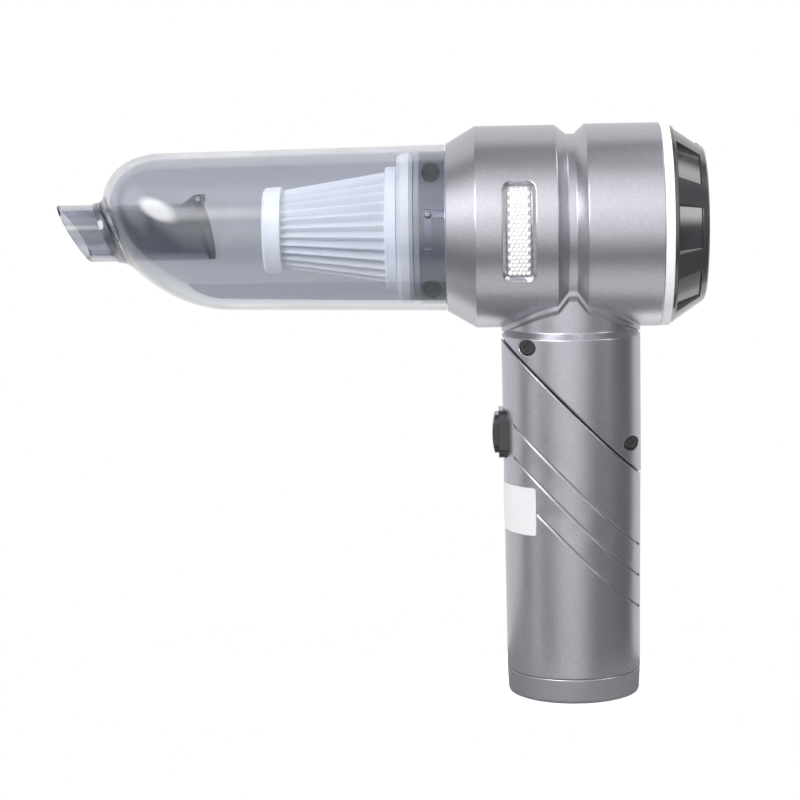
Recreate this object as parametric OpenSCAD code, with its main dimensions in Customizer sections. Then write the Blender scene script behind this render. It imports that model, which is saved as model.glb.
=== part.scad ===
// Cordless hand vacuum and blower: a turbine head with a clear dust cup in front, on a handle that folds.
// Millimetres, +Z up along the handle, +X towards the blower outlet, -Y towards the lamp side.
// The origin is the centre of the handle's flat foot.

/* [Head] */
// Height of the head's axis above the foot
axis_z = 143.7; // [138:0.1:152]
// Radius of the drum in front of the belt groove
front_drum_r = 30.5; // [29.5:0.5:33]
// Radius of the drum behind the belt groove
rear_drum_r = 30.7; // [30:0.1:33]
// Length of the front drum
front_drum_len = 24.1; // [23.5:0.1:32]
// Length of the rear drum
rear_drum_len = 22.2; // [21.8:0.1:30]
// Length of the slope between the front drum and the cup
nose_len = 8.8; // [6:0.5:12]
// Radius of the nose where it meets the cup
nose_r = 25.3; // [24.8:0.1:27]
// Width of the belt groove at the surface
groove_w = 9; // [7:0.2:12]
// Width of the belt groove's floor
groove_floor_w = 2.5; // [1:0.1:4]
// Depth of the belt groove
groove_depth = 2.75; // [1.5:0.25:3.5]
// Wall of the two housing halves
shell_wall = 2.2; // [1.8:0.1:2.6]

/* [Collar] */
// Radius of the collar inside the cup's skirt
collar_r = 23.1; // [22.6:0.1:23.1]
// Length of the collar in front of the nose
collar_len = 7.8; // [7.6:0.1:10]
// Radius of the air passage through the collar
duct_r = 13.5; // [11:0.5:13.5]
// Height of the collar screws above and below the head's axis
collar_screw_z = 16.8; // [16.8:0.1:18]
// Radius of a bayonet lug
lug_r = 0.9; // [0.8:0.1:1.2]

/* [Rear end] */
// Length of the white ring behind the rear drum
ring_len = 2.8; // [2.5:0.1:5]
// Radius of the rear cap where its cone starts
cap_r = 29.8; // [29:0.1:30.5]
// Radius of the rear cap where its cone ends
cap_end_r = 23.8; // [22:0.2:25]
// Length of the rear cap's straight band in front of its cone
cap_band_len = 0.9; // [0.5:0.1:2]
// Length of the rear cap's cone
cap_cone_len = 8.7; // [8:0.1:14]
// Radius of the blower outlet
outlet_r = 16; // [12:0.5:17]
// Length of the blower outlet's straight wall
outlet_len = 5; // [4:0.5:6]
// Number of grip pockets round the rear cap
pocket_count = 8; // [5:1:9]
// Angle that one grip pocket covers
pocket_angle = 28.4; // [20:0.2:34]
// Depth of a grip pocket at its wide end
pocket_depth = 1.8; // [0.8:0.1:2]

/* [Dust cup] */
// Radius of the cup at its rim
cup_rim_r = 25.2; // [25.2:0.1:26]
// Radius of the cup where the dome starts
cup_front_r = 24; // [23.8:0.1:25]
// Length of the cup from the rim to the dome's centre
cup_len = 76; // [72:1:100]
// Wall of the cup
cup_wall = 1.8; // [1.4:0.1:1.8]
// Length of the dome
dome_len = 26.5; // [22:0.5:34]
// Forward lean of the dome's top, as a share of height
dome_lean_share = 0.42; // [0.2:0.02:0.5]

/* [Inlet] */
// Outer radius of the suction tube
tube_r = 8.7; // [7.5:0.1:9.5]
// Bore radius of the suction tube
tube_bore_r = 7.2; // [5.5:0.1:7.4]
// Radius of the tube's bore behind the shoulder that a nozzle stops at
tube_inner_r = 6.6; // [5:0.1:6.8]
// Distance from the tube's tip to the shoulder, on the axis
nozzle_len = 20; // [14:0.5:26]
// Distance from the dome's centre to the tube's tip, on the axis
tube_reach = 37.4; // [34:0.1:50]
// Length of the tube inside the cup, behind the dome's centre
tube_inside = 2.2; // [0:0.2:8]
// Rake of the tube's tip, as a share of height
tip_rake_share = 0.58; // [0.2:0.02:0.8]
// Lean of the flap's seat, as a share of height
seat_lean_share = 0.2; // [0.1:0.02:0.3]
// Thickness of the flap
flap_t = 1.4; // [1:0.1:2]

/* [Filter] */
// Number of pleats
pleat_count = 30; // [20:1:40]
// Length of the pleated cone
pleat_len = 31.5; // [26:0.5:34]
// Radius of the pleats at the cap
pleat_front_r = 12.4; // [11:0.2:14]
// Radius of the pleats at the flange
pleat_rear_r = 17.4; // [16:0.2:18]
// Depth of a pleat
pleat_depth = 2.6; // [1.5:0.1:2.8]
// Radius of the filter's cap
filter_cap_r = 13; // [12:0.2:15]
// Length of the filter's cap
filter_cap_len = 5.5; // [4:0.5:7]
// Radius of the filter's flange
filter_flange_r = 18.7; // [18:0.1:20]
// Length of the filter's flange
filter_flange_len = 3.4; // [3:0.1:5]
// Length of the soft ring that seals the cup
seal_len = 4.9; // [3.5:0.1:5]

/* [Fan and motor] */
// Room between the impeller's rim and the inside of the drum
fan_room = 6.3; // [5.8:0.1:10]
// Height of the impeller's blades
blade_h = 9; // [6:0.5:9.5]
// Number of blades
blade_count = 9; // [5:1:12]
// Radius of the motor's can
motor_r = 14; // [12:0.5:15]
// Length of the motor's can
motor_len = 34; // [30:0.5:34]
// Radius of the motor's shaft
shaft_r = 1.15; // [1:0.05:1.5]

/* [Neck and handle] */
// Radius of the neck under the drums
neck_r = 19.7; // [18.6:0.1:20.3]
// Radius of the handle at its top
handle_r = 21.1; // [20.8:0.1:22.5]
// Radius of the handle at its base cap
handle_foot_r = 20.5; // [20.3:0.1:21.5]
// Bore radius of the handle
handle_bore_r = 18.9; // [18.7:0.1:19]
// Height of the handle's top edge
handle_top_z = 110.8; // [110.6:0.1:111.4]
// Height where the fold's sloping plane crosses the handle's axis
fold_z = 88.9; // [88.2:0.1:89]
// Gap between the two sides of the fold
fold_gap = 0.4; // [0.3:0.05:0.6]
// Radius of the sleeve that the handle turns on
pivot_r = 12.5; // [10:0.5:13]
// Height of the base cap
base_cap_h = 7.7; // [5:0.1:9]
// Height of the switch's centre
switch_z = 80.8; // [78:0.2:82]
// Height of the switch's bezel
bezel_h = 14.7; // [13.6:0.1:17]
// Width of the switch's bezel
bezel_w = 15.4; // [13:0.2:17]
// Height of the button's cap
button_h = 12.2; // [10:0.1:12.4]
// Width of the button's cap
button_w = 12.6; // [9:0.2:13]
// How far the button stands out of the handle
button_proud = 3.25; // [2.6:0.05:4.5]

/* [Lamp] */
// Width of the lamp's window
window_w = 10; // [8:0.5:12]
// Height of the lamp's window
window_h = 29.7; // [28:0.1:33]
// Width of the lamp's lens
lens_w = 7; // [5:0.2:7.2]
// Height of the lamp's lens
lens_h = 26.6; // [17:0.2:27.6]

/* [Battery] */
// Radius of a battery cell
cell_r = 9.15; // [8:0.05:9.2]
// Length of a battery cell
cell_len = 65; // [60:0.5:65]

/* [Hidden] */
$fn = 96;

// Overrun of a cut past the surface that it opens
over = 1;
// Clearance between pieces that stay together, pieces that slide and pieces that turn on each other
snug = 0.05;
slip = 0.3;
run = 0.05;
// Half of the joint between the two housing halves
parting = 0.04;

// Places along the head's axis
groove_front_x = -groove_w / 2;
groove_rear_x = groove_w / 2;
drum_front_x = groove_front_x - front_drum_len;
nose_x = drum_front_x - nose_len;
collar_x = nose_x - collar_len;
drum_rear_x = groove_rear_x + rear_drum_len;
cap_x = drum_rear_x + ring_len;
cone_x = cap_x + cap_band_len;
cap_end_x = cone_x + cap_cone_len;
cap_lip = 1;
outlet_x = cap_end_x + cap_lip;
rim_x = nose_x - slip;
dome_x = rim_x - cup_len;
tip_x = dome_x - tube_reach;
nozzle_end_x = tip_x + nozzle_len;
seat_x = dome_x + tube_inside;

// Inside of the head
drum_bore_r = front_drum_r - shell_wall;
corner_shift = 1;
rear_bore_r = rear_drum_r - shell_wall - corner_shift;
belt_bore_r = front_drum_r - groove_depth - shell_wall;
belt_bore_half = groove_w / 2 + shell_wall;
collar_bore_r = collar_r - shell_wall;
collar_wall = 1.8;
screw_boss_r = 3.1;
pad_h = 1.2;
pad_r = handle_r;
neck_bore_r = neck_r - shell_wall;
top_chamfer_h = 1.9;
fold_groove_w = 0.9;
fold_groove_d = 0.5;
deck_t = 2.75;

// Screws between the housing halves: place along X, height, depth of the head's seat, head radius
screw_r = 1.2;
screw_head_h = 1.6;
screw_recess_clear = 0.25;
collar_screw_head_r = 2.5;
handle_screw_head_r = 2.15;
screw_end_y = 7;
collar_screw_inset = 4.3;
collar_screw_x = nose_x - collar_screw_inset;
upper_screw_s = 4.08;
upper_screw_t = 23.36;
lower_screw_s = 4.9;
lower_screw_t = 19.7;
screw_sink = 0.2;
function fold_point(s, t) = [(s - t) / sqrt(2), fold_z + (s + t) / sqrt(2)];
upper_screw = fold_point(upper_screw_s, upper_screw_t);
lower_screw = fold_point(lower_screw_s, -lower_screw_t);
function seat_depth(r, across, head_r) =
    sqrt(r * r - pow(abs(across) + head_r, 2)) - screw_head_h - screw_sink;
function collar_screw(up) = let (z = up * collar_screw_z)
    [collar_screw_x, axis_z + z, seat_depth(collar_r, z, collar_screw_head_r), collar_screw_head_r];
function handle_screw(at) =
    [at[0], at[1], seat_depth(handle_r, at[0], handle_screw_head_r), handle_screw_head_r];
screws = [collar_screw(1), collar_screw(-1), handle_screw(upper_screw), handle_screw(lower_screw)];

// Filter seat, seal and filter
seat_flange_t = 1.6;
seat_flange_step = 1;
seat_wall = 2;
spigot_step = 0.5;
spigot_stick = 1;
seat_flange_r = collar_r - seat_flange_step;
seat_plug_r = duct_r - snug;
seat_bore_r = duct_r - seat_wall;
spigot_r = duct_r - spigot_step;
seat_rear_x = nose_x - slip;
seat_front_x = collar_x - snug - seat_flange_t;
seal_rear_x = seat_front_x - slip;
seal_front_x = seal_rear_x - seal_len;
seal_round = 1.2;
flange_rear_x = seal_front_x - slip;
flange_front_x = flange_rear_x - filter_flange_len;
flange_round = 0.5;
pleat_front_x = flange_front_x - pleat_len;
filter_front_x = pleat_front_x - filter_cap_len;
filter_cap_round = 0.8;
filter_cap_flare = 0.2;
spigot_front_x = flange_front_x - spigot_stick;
grille_t = 1;
grille_rim = 1.2;
grille_bar = 0.8;
grille_ledge = 1;
pleat_sheet = 0.7;

// Cup bayonet: the slot in the skirt, its lug and the angle between entry and lock
cup_bore_r = cup_rim_r - cup_wall;
lug_angle = 12.6;
twist_angle = 22;
lug_inset = 5.2;
lug_end_r = cup_rim_r - cup_wall / 3;
slot_clear = 0.2;
lug_x = nose_x - lug_inset;
slot_half = lug_r + slot_clear;
slot_spare_angle = 0.2;
slot_half_angle = asin(slot_half / cup_bore_r) + slot_spare_angle;

// Fan and motor
impeller_r = drum_bore_r - fan_room;
shroud_t = 1.5;
fan_gap = 0.8;
fan_lift = 2.4;
shroud_r = impeller_r + shroud_t + fan_gap;
mount_r = drum_bore_r - snug;
mount_rear_x = -belt_bore_half - snug;
mount_len = 3.3;
mount_grip = 7;
mount_windows = 8;
mount_open_share = 0.75;
mount_front_x = mount_rear_x - mount_len;
mount_plate_t = 1.4;
motor_front_x = mount_front_x + mount_plate_t + snug;
motor_rear_x = motor_front_x + motor_len;
can_wall = 1;
end_cap_len = 2.4;
end_plug_len = 2;
terminal_y = 7;
terminal_w = 2.8;
terminal_t = 0.6;
terminal_len = 3.4;
bearing_r = 3;
bearing_len = 2.6;
bearing_boss_r = 4;
boss_len = 1.4;
impeller_plate_t = 1.2;
impeller_rear_x = mount_front_x - fan_lift;
impeller_front_x = impeller_rear_x - impeller_plate_t - blade_h;
shroud_front_x = impeller_front_x - shroud_t - fan_gap;
hub_r = 4;
blade_t = 0.9;
blade_curve_r = 16;
eye_r = 11.5;
eye_inset = 1.5;
magnet_t = 2.6;
magnet_inset = 4;
magnet_rear_gap = 6;
magnet_angle = 130;
rotor_gap = 1.3;
rotor_r = motor_r - can_wall - snug - magnet_t - rotor_gap;
rotor_slots = 5;
rotor_inset = 5;
rotor_rear_gap = 8;
commutator_end_gap = 3;
shaft_stick = 1;
shaft_front_x = impeller_front_x - shaft_stick;
damper_legs = 6;
damper_len = 5;
damper_inset = 5;
damper_x = motor_rear_x - damper_len - damper_inset;
damper_t = 2.8;
damper_step = 0.4;
damper_reach = rear_bore_r - snug;
motor_screw_r = 1.2;
motor_screw_pitch_r = 8;

// Rear cap and outlet
cap_wall = 1.6;
cap_plug_len = 6;
outlet_seat_r = outlet_r + cap_wall;
outlet_guard_x = outlet_x - outlet_len;
outlet_grille_rim = 1.8;
pocket_front_edge = 0.4;
pocket_rear_edge = 1;
pocket_slope = (cap_r - cap_end_r) / cap_cone_len;
ring_step = 0.1;

// Fold
tilt = 45;
sleeve_bore_r = pivot_r - 3.2;
sleeve_flange_r = pivot_r + 2.6;
sleeve_flange_t = 2;
sleeve_step = 0.7;
washer_r = pivot_r + 2.5;
washer_t = 1.3;
sleeve_stick = 0.4;
sleeve_low_s = -fold_gap / 2 - deck_t - slip - washer_t - sleeve_stick;
deck_low_s = -fold_gap / 2 - deck_t;
deck_high_s = fold_gap / 2 + deck_t;

// Handle
stripe_w = 0.5;
stripe_d = 0.35;
stripe_first = 22.6;
stripe_pitch = 9.7;
stripe_count = 3;
stripe_front_x = -18;
stripe_rear_x = 20;
base_seam = 0.2;
base_floor = 2;
foot_round = 0.9;
foot_step = 0.35;
base_foot_r = handle_foot_r - foot_step;
spigot_wall = 1.5;
spigot_h = 4.5;
spigot_gap_y = 13;
cell_gap = 0.2;
cell_button_h = 1;
cell_z = 4;
cradle_t = 1.5;
cradle_gap = 0.2;
cradle_y = 8;
board_t = 1.6;
board_x = -14;
board_w = 14;
chip_t = 1.2;
chip_w = 5;
board_low_z = 58;
board_top_z = 88;
rail_t = 1.6;
rail_len = 12;
bezel_corner = 3;
bezel_proud = 1.3;
bezel_depth = 3.2;
button_corner = 2.6;
button_skirt = 0.6;
button_flange_t = 0.9;
button_flange_gap = 0.2;
button_crown_r = 22;
switch_body = 6;
switch_depth = 1.4;
plunger_h = 0.3;
plunger_r = 1.7;
socket_w = 8.9;
socket_t = 3.2;
socket_len = 7.3;
socket_x = 15.3;
socket_wall = 0.35;
socket_low_z = 0.6;
socket_back = 1;
socket_round_share = 0.48;
tongue_t = 0.7;
tongue_step = 0.8;
port_clear = 0.25;
charge_board_t = 1.2;
charge_board_w = 10;
charge_board_h = 15;

// Lamp
window_shift = 0.7;
window_x = (drum_front_x + groove_front_x) / 2 + window_shift;
window_corner = 2.4;
window_depth = 1.3;
window_rim = 0.35;
window_slices = 16;
lens_corner = 1.2;
lens_recess = 1.2;
lens_foot = 1.2;
lens_foot_t = 1.1;
lens_foot_r = drum_bore_r - snug;
board_gap = 1;
lamp_board_t = 0.6;
lamp_board_r = lens_foot_r - lens_foot_t - board_gap;
diode_count = 6;
diode_t = 0.6;
diode_share = 0.4;

// Turns children so that their Z runs along the head's axis, towards +X
module along_head() {
    translate([0, 0, axis_z]) rotate([0, 90, 0]) children();
}

// A ring or disc on the head's axis, from x0 to x1
module head_ring(x0, x1, r, bore = 0) {
    along_head() translate([0, 0, x0]) difference() {
        cylinder(h = x1 - x0, r = r);
        if (bore > 0) translate([0, 0, -over]) cylinder(h = x1 - x0 + 2 * over, r = bore);
    }
}

// A turned shape on the head's axis from points of [radius, x]
module head_turned(points) {
    along_head() rotate_extrude() polygon(points);
}

// A side view of points [x, z], spread w to each side of the middle plane
module side_plate(points, w) {
    rotate([90, 0, 0]) linear_extrude(height = 2 * w, center = true) polygon(points);
}

// Turns children so that their Z is the fold's axis, with zero in the fold's plane
module along_fold() {
    translate([0, 0, fold_z]) rotate([0, tilt, 0]) children();
}

// Everything on one side of a plane that lies s along the fold's axis
module fold_side(s, up = true) {
    reach = axis_z;
    along_fold() translate([-reach, -reach, up ? s : s - 2 * reach]) cube(2 * reach);
}

// A rectangle with round corners, made of true arcs
module round_rect(w, h, r) {
    square([w - 2 * r, h], center = true);
    square([w, h - 2 * r], center = true);
    for (x = [-1, 1], y = [-1, 1]) translate([x * (w / 2 - r), y * (h / 2 - r)]) circle(r = r, $fn = 48);
}

// A round-cornered bar that runs along -X from x, at the switch's height: w across, h tall
module switch_bar(x, len, w, h, r) {
    translate([x, 0, switch_z]) rotate([0, -90, 0]) linear_extrude(height = len) round_rect(h, w, r);
}

// A round-cornered bar that runs along -Y from y, at the lamp's window
module lamp_bar(y, len, w, h, r) {
    translate([window_x, y, axis_z]) rotate([90, 0, 0]) linear_extrude(height = len)
        round_rect(w, h, r);
}

// Outline of the two drums, grown by extra: points of [radius, x]
function drum_outline(extra, grow_nose) = [
    [0, drum_front_x - grow_nose],
    [front_drum_r + extra, drum_front_x - grow_nose],
    [front_drum_r + extra, groove_front_x],
    [front_drum_r + extra - groove_depth, -groove_floor_w / 2],
    [front_drum_r + extra - groove_depth, groove_floor_w / 2],
    [rear_drum_r + extra, groove_rear_x],
    [rear_drum_r + extra, drum_rear_x],
    [0, drum_rear_x]];

// Outside of both housing halves together
module housing_outside() {
    head_turned(concat([[0, collar_x], [collar_r, collar_x], [collar_r, nose_x], [nose_r, nose_x]],
        [for (i = [1 : 7]) drum_outline(0, 0)[i]]));
    intersection() {
        head_turned(drum_outline(pad_h, 0));
        cylinder(h = axis_z, r = pad_r);
    }
    difference() {
        union() {
            cylinder(h = axis_z, r = neck_r);
            cylinder(h = handle_top_z, r = handle_r);
            translate([0, 0, handle_top_z]) cylinder(h = top_chamfer_h, r1 = handle_r, r2 = neck_r);
        }
        fold_side(fold_gap / 2, false);
        difference() {
            fold_side(fold_groove_w / 2, false);
            cylinder(h = axis_z, r = handle_r - fold_groove_d);
        }
    }
}

// Space inside both housing halves
module housing_inside() {
    head_turned([
        [0, collar_x + collar_wall], [collar_bore_r, collar_x + collar_wall],
        [collar_bore_r, nose_x - corner_shift], [nose_r - shell_wall, nose_x + corner_shift],
        [drum_bore_r, drum_front_x + corner_shift], [drum_bore_r, -belt_bore_half],
        [belt_bore_r, -belt_bore_half], [belt_bore_r, belt_bore_half], [rear_bore_r, belt_bore_half],
        [rear_bore_r, drum_rear_x + over], [0, drum_rear_x + over]]);
    head_ring(collar_x - over, nose_x, duct_r);
    difference() {
        union() {
            cylinder(h = axis_z, r = neck_bore_r);
            cylinder(h = handle_top_z - shell_wall, r = handle_bore_r);
        }
        fold_side(deck_high_s, false);
    }
    along_fold() cylinder(h = deck_high_s + over, r = pivot_r + snug);
}

// Bosses that the housing screws run through
module screw_bosses() {
    for (s = screws) translate([s[0], 0, s[1]]) rotate([90, 0, 0])
        cylinder(h = 2 * handle_r, r = screw_boss_r, center = true, $fn = 48);
}

// Both housing halves in one
module housing() {
    difference() {
        housing_outside();
        difference() {
            housing_inside();
            screw_bosses();
        }
        for (s = screws) translate([s[0], 0, s[1]]) rotate([90, 0, 0]) {
            translate([0, 0, -screw_end_y - over]) cylinder(h = axis_z, r = screw_r + snug, $fn = 32);
            translate([0, 0, s[2]]) cylinder(h = axis_z, r = s[3] + screw_recess_clear, $fn = 32);
        }
        along_fold() translate([0, 0, deck_high_s - over]) cylinder(h = over, r = pivot_r + snug);
    }
}

// Turns children, which point along X, to one of the two lugs: half 0 is the lamp's side
module at_lug(half) {
    along_head() rotate([0, 0, half * 180 - 90 - lug_angle]) children();
}

// A bayonet lug, a short pin standing out of the collar
module lug(half) {
    root = collar_r - shell_wall / 2;
    at_lug(half) translate([root, 0, lug_x]) rotate([0, 90, 0])
        cylinder(h = lug_end_r - root, r = lug_r, $fn = 32);
}

// One side of the middle plane, less half of the joint
module half_space(side) {
    reach = 2 * axis_z;
    translate([-reach, side > 0 ? parting : -reach - parting, -reach]) cube([2 * reach, reach, 2 * reach]);
}

// Left housing half, on the lamp's side, with the screws' recesses and the lamp's window
module left_housing() {
    color("dimgray") difference() {
        union() {
            intersection() {
                housing();
                half_space(-1);
            }
            lug(0);
        }
        lamp_bar(-neck_r, axis_z, lens_w + 2 * snug, lens_h + 2 * snug, lens_corner);
        lamp_recess();
    }
}

// Right housing half, which the screws bite into
module right_housing() {
    color("dimgray") union() {
        intersection() {
            housing();
            half_space(1);
        }
        lug(1);
    }
}

// The four screws that hold the halves together
module housing_screws() {
    color("black") for (s = screws) translate([s[0], 0, s[1]]) rotate([90, 0, 0]) {
        translate([0, 0, -screw_end_y]) cylinder(h = screw_end_y + s[2] + over, r = screw_r, $fn = 32);
        translate([0, 0, s[2] + snug]) difference() {
            cylinder(h = screw_head_h, r = s[3], $fn = 32);
            translate([0, 0, screw_head_h - s[3] / 4]) for (turn = [0, 90]) rotate([0, 0, turn])
                translate([-s[3] * 0.6, -s[3] * 0.15, 0]) cube([s[3] * 1.2, s[3] * 0.3, over]);
        }
    }
}

// Seat that the filter plugs onto, with a tube into the collar
module filter_seat() {
    ledge_x = seat_rear_x - grille_t - snug;
    color("gray") head_turned([
        [seat_bore_r, spigot_front_x], [spigot_r, spigot_front_x], [spigot_r, seat_front_x],
        [seat_flange_r, seat_front_x], [seat_flange_r, seat_front_x + seat_flange_t],
        [seat_plug_r, seat_front_x + seat_flange_t], [seat_plug_r, seat_rear_x],
        [seat_bore_r + grille_ledge, seat_rear_x], [seat_bore_r + grille_ledge, ledge_x],
        [seat_bore_r, ledge_x]]);
}

// A round guard: a rim, rings at equal steps and spokes
module guard(x, r, rim, bar, rings, spokes) {
    along_head() translate([0, 0, x]) linear_extrude(height = grille_t) {
        difference() {
            circle(r = r);
            circle(r = r - rim);
        }
        step = (r - rim) / (rings + 1);
        for (i = [1 : rings]) difference() {
            circle(r = i * step + bar / 2);
            circle(r = i * step - bar / 2);
        }
        for (i = [0 : spokes - 1]) rotate(i * 360 / spokes) translate([0, -bar / 2])
            square([r - rim / 2, bar]);
    }
}

// Guard between the filter and the fan
module intake_grille() {
    color("gray")
        guard(seat_rear_x - grille_t, seat_bore_r + grille_ledge - snug, grille_rim, grille_bar, 3, 6);
}

// Shroud with the fan's eye and the duct from the collar
module fan_shroud() {
    back = mount_front_x - snug;
    front = seat_rear_x + snug;
    color("whitesmoke") head_turned([
        [eye_r, front], [eye_r + shroud_t, front], [eye_r + shroud_t, shroud_front_x],
        [shroud_r - shroud_t, shroud_front_x], [shroud_r, shroud_front_x + shroud_t], [shroud_r, back],
        [shroud_r - shroud_t, back], [shroud_r - shroud_t, shroud_front_x + shroud_t],
        [eye_r, shroud_front_x + shroud_t]]);
}

// Plate that carries the motor, with windows for the air
module motor_mount() {
    window_r = motor_r + 2 * shroud_t;
    window_end_r = shroud_r - 2 * shroud_t;
    color("whitesmoke") difference() {
        union() {
            head_ring(mount_front_x, mount_front_x + mount_plate_t, mount_r);
            head_ring(mount_front_x, mount_rear_x, mount_r, mount_r - shroud_t);
            head_ring(mount_front_x, mount_front_x + mount_grip, motor_r + shroud_t, motor_r + snug);
        }
        head_ring(mount_front_x - over, mount_rear_x, bearing_boss_r + snug);
        for (i = [0 : mount_windows - 1]) along_head() translate([0, 0, mount_front_x - over])
            rotate([0, 0, i * 360 / mount_windows])
            rotate_extrude(angle = mount_open_share * 360 / mount_windows) translate([window_r, 0])
            square([window_end_r - window_r, mount_plate_t + 2 * over]);
        for (side = [-1, 1]) along_head() translate([0, side * motor_screw_pitch_r, mount_front_x - over])
            cylinder(h = mount_plate_t + 2 * over, r = motor_screw_r + snug, $fn = 32);
    }
}

// The two screws that hold the motor to its plate
module motor_screws() {
    head_t = motor_screw_r / 2;
    color("silver") for (side = [-1, 1]) along_head()
        translate([0, side * motor_screw_pitch_r, mount_front_x - snug]) {
            cylinder(h = mount_plate_t + can_wall + 2 * snug, r = motor_screw_r, $fn = 32);
            translate([0, 0, -head_t]) cylinder(h = head_t, r = 2 * motor_screw_r, $fn = 32);
        }
}

// Steel can of the motor, open at the rear
module motor_can() {
    color("silver") difference() {
        union() {
            head_ring(motor_front_x, motor_rear_x, motor_r);
            head_ring(motor_front_x - boss_len, motor_front_x + can_wall, bearing_boss_r);
        }
        head_ring(motor_front_x + can_wall, motor_rear_x + over, motor_r - can_wall);
        head_ring(motor_front_x - boss_len - over, motor_front_x + can_wall + over, bearing_r);
        for (side = [-1, 1]) along_head() translate([0, side * motor_screw_pitch_r, motor_front_x - over])
            cylinder(h = can_wall + 2 * over, r = motor_screw_r + snug, $fn = 32);
    }
}

// Two curved magnets inside the can
module motor_magnets() {
    len = motor_len - can_wall - magnet_inset - magnet_rear_gap;
    color("dimgray") for (side = [0, 180]) along_head()
        translate([0, 0, motor_front_x + can_wall + magnet_inset])
        rotate([0, 0, side + (180 - magnet_angle) / 2])
        rotate_extrude(angle = magnet_angle) translate([motor_r - can_wall - snug - magnet_t, 0])
        square([magnet_t, len]);
}

// Plastic end of the motor, with its rear bearing's seat and two contact blades
module motor_end_cap() {
    back = motor_rear_x + end_cap_len;
    color("white") difference() {
        union() {
            head_ring(motor_rear_x + snug, back, motor_r);
            head_ring(motor_rear_x - end_plug_len, motor_rear_x + snug, motor_r - can_wall - snug);
            for (side = [-1, 1])
                translate([motor_rear_x + snug, side * terminal_y - terminal_w / 2, axis_z - terminal_t / 2])
                cube([end_cap_len + terminal_len, terminal_w, terminal_t]);
        }
        head_ring(motor_rear_x - end_plug_len - over, back + over, bearing_r);
    }
}

// A sintered bearing for the shaft
module bearing(x) {
    color("goldenrod") head_ring(x, x + bearing_len, bearing_r - snug, shaft_r + run);
}
module front_bearing() {
    bearing(motor_front_x - boss_len + snug);
}
module rear_bearing() {
    bearing(motor_rear_x + end_cap_len - bearing_len);
}

// Rubber ring that steadies the motor's rear end in the housing
module motor_damper() {
    color("black") union() {
        head_ring(damper_x, damper_x + damper_len, motor_r + damper_t, motor_r + snug);
        for (i = [0 : damper_legs - 1]) along_head() rotate([0, 0, (i + 0.5) * 360 / damper_legs])
            translate([motor_r + damper_t / 2, -damper_t / 2, damper_x + damper_step])
            cube([damper_reach - motor_r - damper_t / 2, damper_t, damper_len - 2 * damper_step]);
    }
}

// White ring between the rear drum and the rear cap
module light_ring() {
    color("white") head_ring(drum_rear_x + snug, cap_x - snug, rear_drum_r - ring_step, rear_bore_r);
}

// Rear cap: a cone with grip pockets, the blower outlet and a plug into the housing
module rear_cap() {
    plug_r = rear_bore_r - snug;
    plug_bore_r = plug_r - cap_wall;
    plug_x = drum_rear_x - cap_plug_len;
    ledge_x = outlet_guard_x - grille_t - snug;
    front = cone_x + pocket_front_edge;
    rear = cap_end_x - pocket_rear_edge;
    color("darkslategray") difference() {
        head_turned([
            [plug_r, plug_x], [plug_r, cap_x], [cap_r, cap_x], [cap_r, cone_x], [cap_end_r, cap_end_x],
            [cap_end_r - cap_lip * 0.4, cap_end_x + cap_lip * 0.6], [cap_end_r - cap_lip, outlet_x],
            [outlet_r, outlet_x], [outlet_r, outlet_guard_x], [outlet_seat_r, outlet_guard_x],
            [outlet_seat_r, ledge_x], [outlet_seat_r + cap_wall, ledge_x],
            [plug_bore_r, cap_x], [plug_bore_r, plug_x]]);
        for (i = [0 : pocket_count - 1]) along_head()
            rotate([0, 0, 90 - pocket_angle / 2 + i * 360 / pocket_count])
            rotate_extrude(angle = pocket_angle) polygon([
                [cap_r - pocket_front_edge * pocket_slope - pocket_depth, front],
                [cap_r + over, front], [cap_r + over, rear],
                [cap_end_r + pocket_rear_edge * pocket_slope - pocket_depth * 0.3, rear]]);
    }
}

// Guard inside the blower outlet
module outlet_grille() {
    color("black")
        guard(outlet_guard_x - grille_t, outlet_seat_r - snug, outlet_grille_rim, grille_bar, 3, 8);
}

// Half width of a round-cornered outline at the height z
function rounded_half(z, w, h, r) =
    let (up = max(0, abs(z) - (h / 2 - r)))
    w / 2 - r + sqrt(max(0, r * r - up * up));

// Cutter for the lamp's recess: a bevelled pan whose floor follows the drum
module lamp_recess() {
    floor_r = front_drum_r - window_depth;
    bevel = (window_w - lens_w - 2 * window_rim) / 2 / window_depth;
    floor_size = [lens_w + 2 * window_rim, lens_h + 2 * window_rim];
    top_size = [window_w + 2 * over * bevel, window_h + 2 * over * bevel];
    // A corner of slice i: its radius about the axis, its outline's size and its side of the middle
    function corner(i, r, size, side) =
        let (z = sin(90 * (2 * i / window_slices - 1)) * size[1] / 2,
            half = rounded_half(z, size[0], size[1], window_corner))
        [window_x + side * half, -sqrt(r * r - z * z), z];
    points = [for (i = [0 : window_slices]) each [
        corner(i, front_drum_r + over, top_size, -1), corner(i, front_drum_r + over, top_size, 1),
        corner(i, floor_r, floor_size, 1), corner(i, floor_r, floor_size, -1)]];
    last = 4 * window_slices;
    faces = concat([[0, 1, 2], [0, 2, 3]],
        [for (i = [0 : window_slices - 1]) for (k = [0 : 3])
            let (a = 4 * i + k, b = 4 * i + (k + 1) % 4)
            each [[a, a + 4, b + 4], [a, b + 4, b]]],
        [[last, last + 2, last + 1], [last, last + 3, last + 2]]);
    translate([0, 0, axis_z]) polyhedron(points = points, faces = faces);
}

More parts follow.
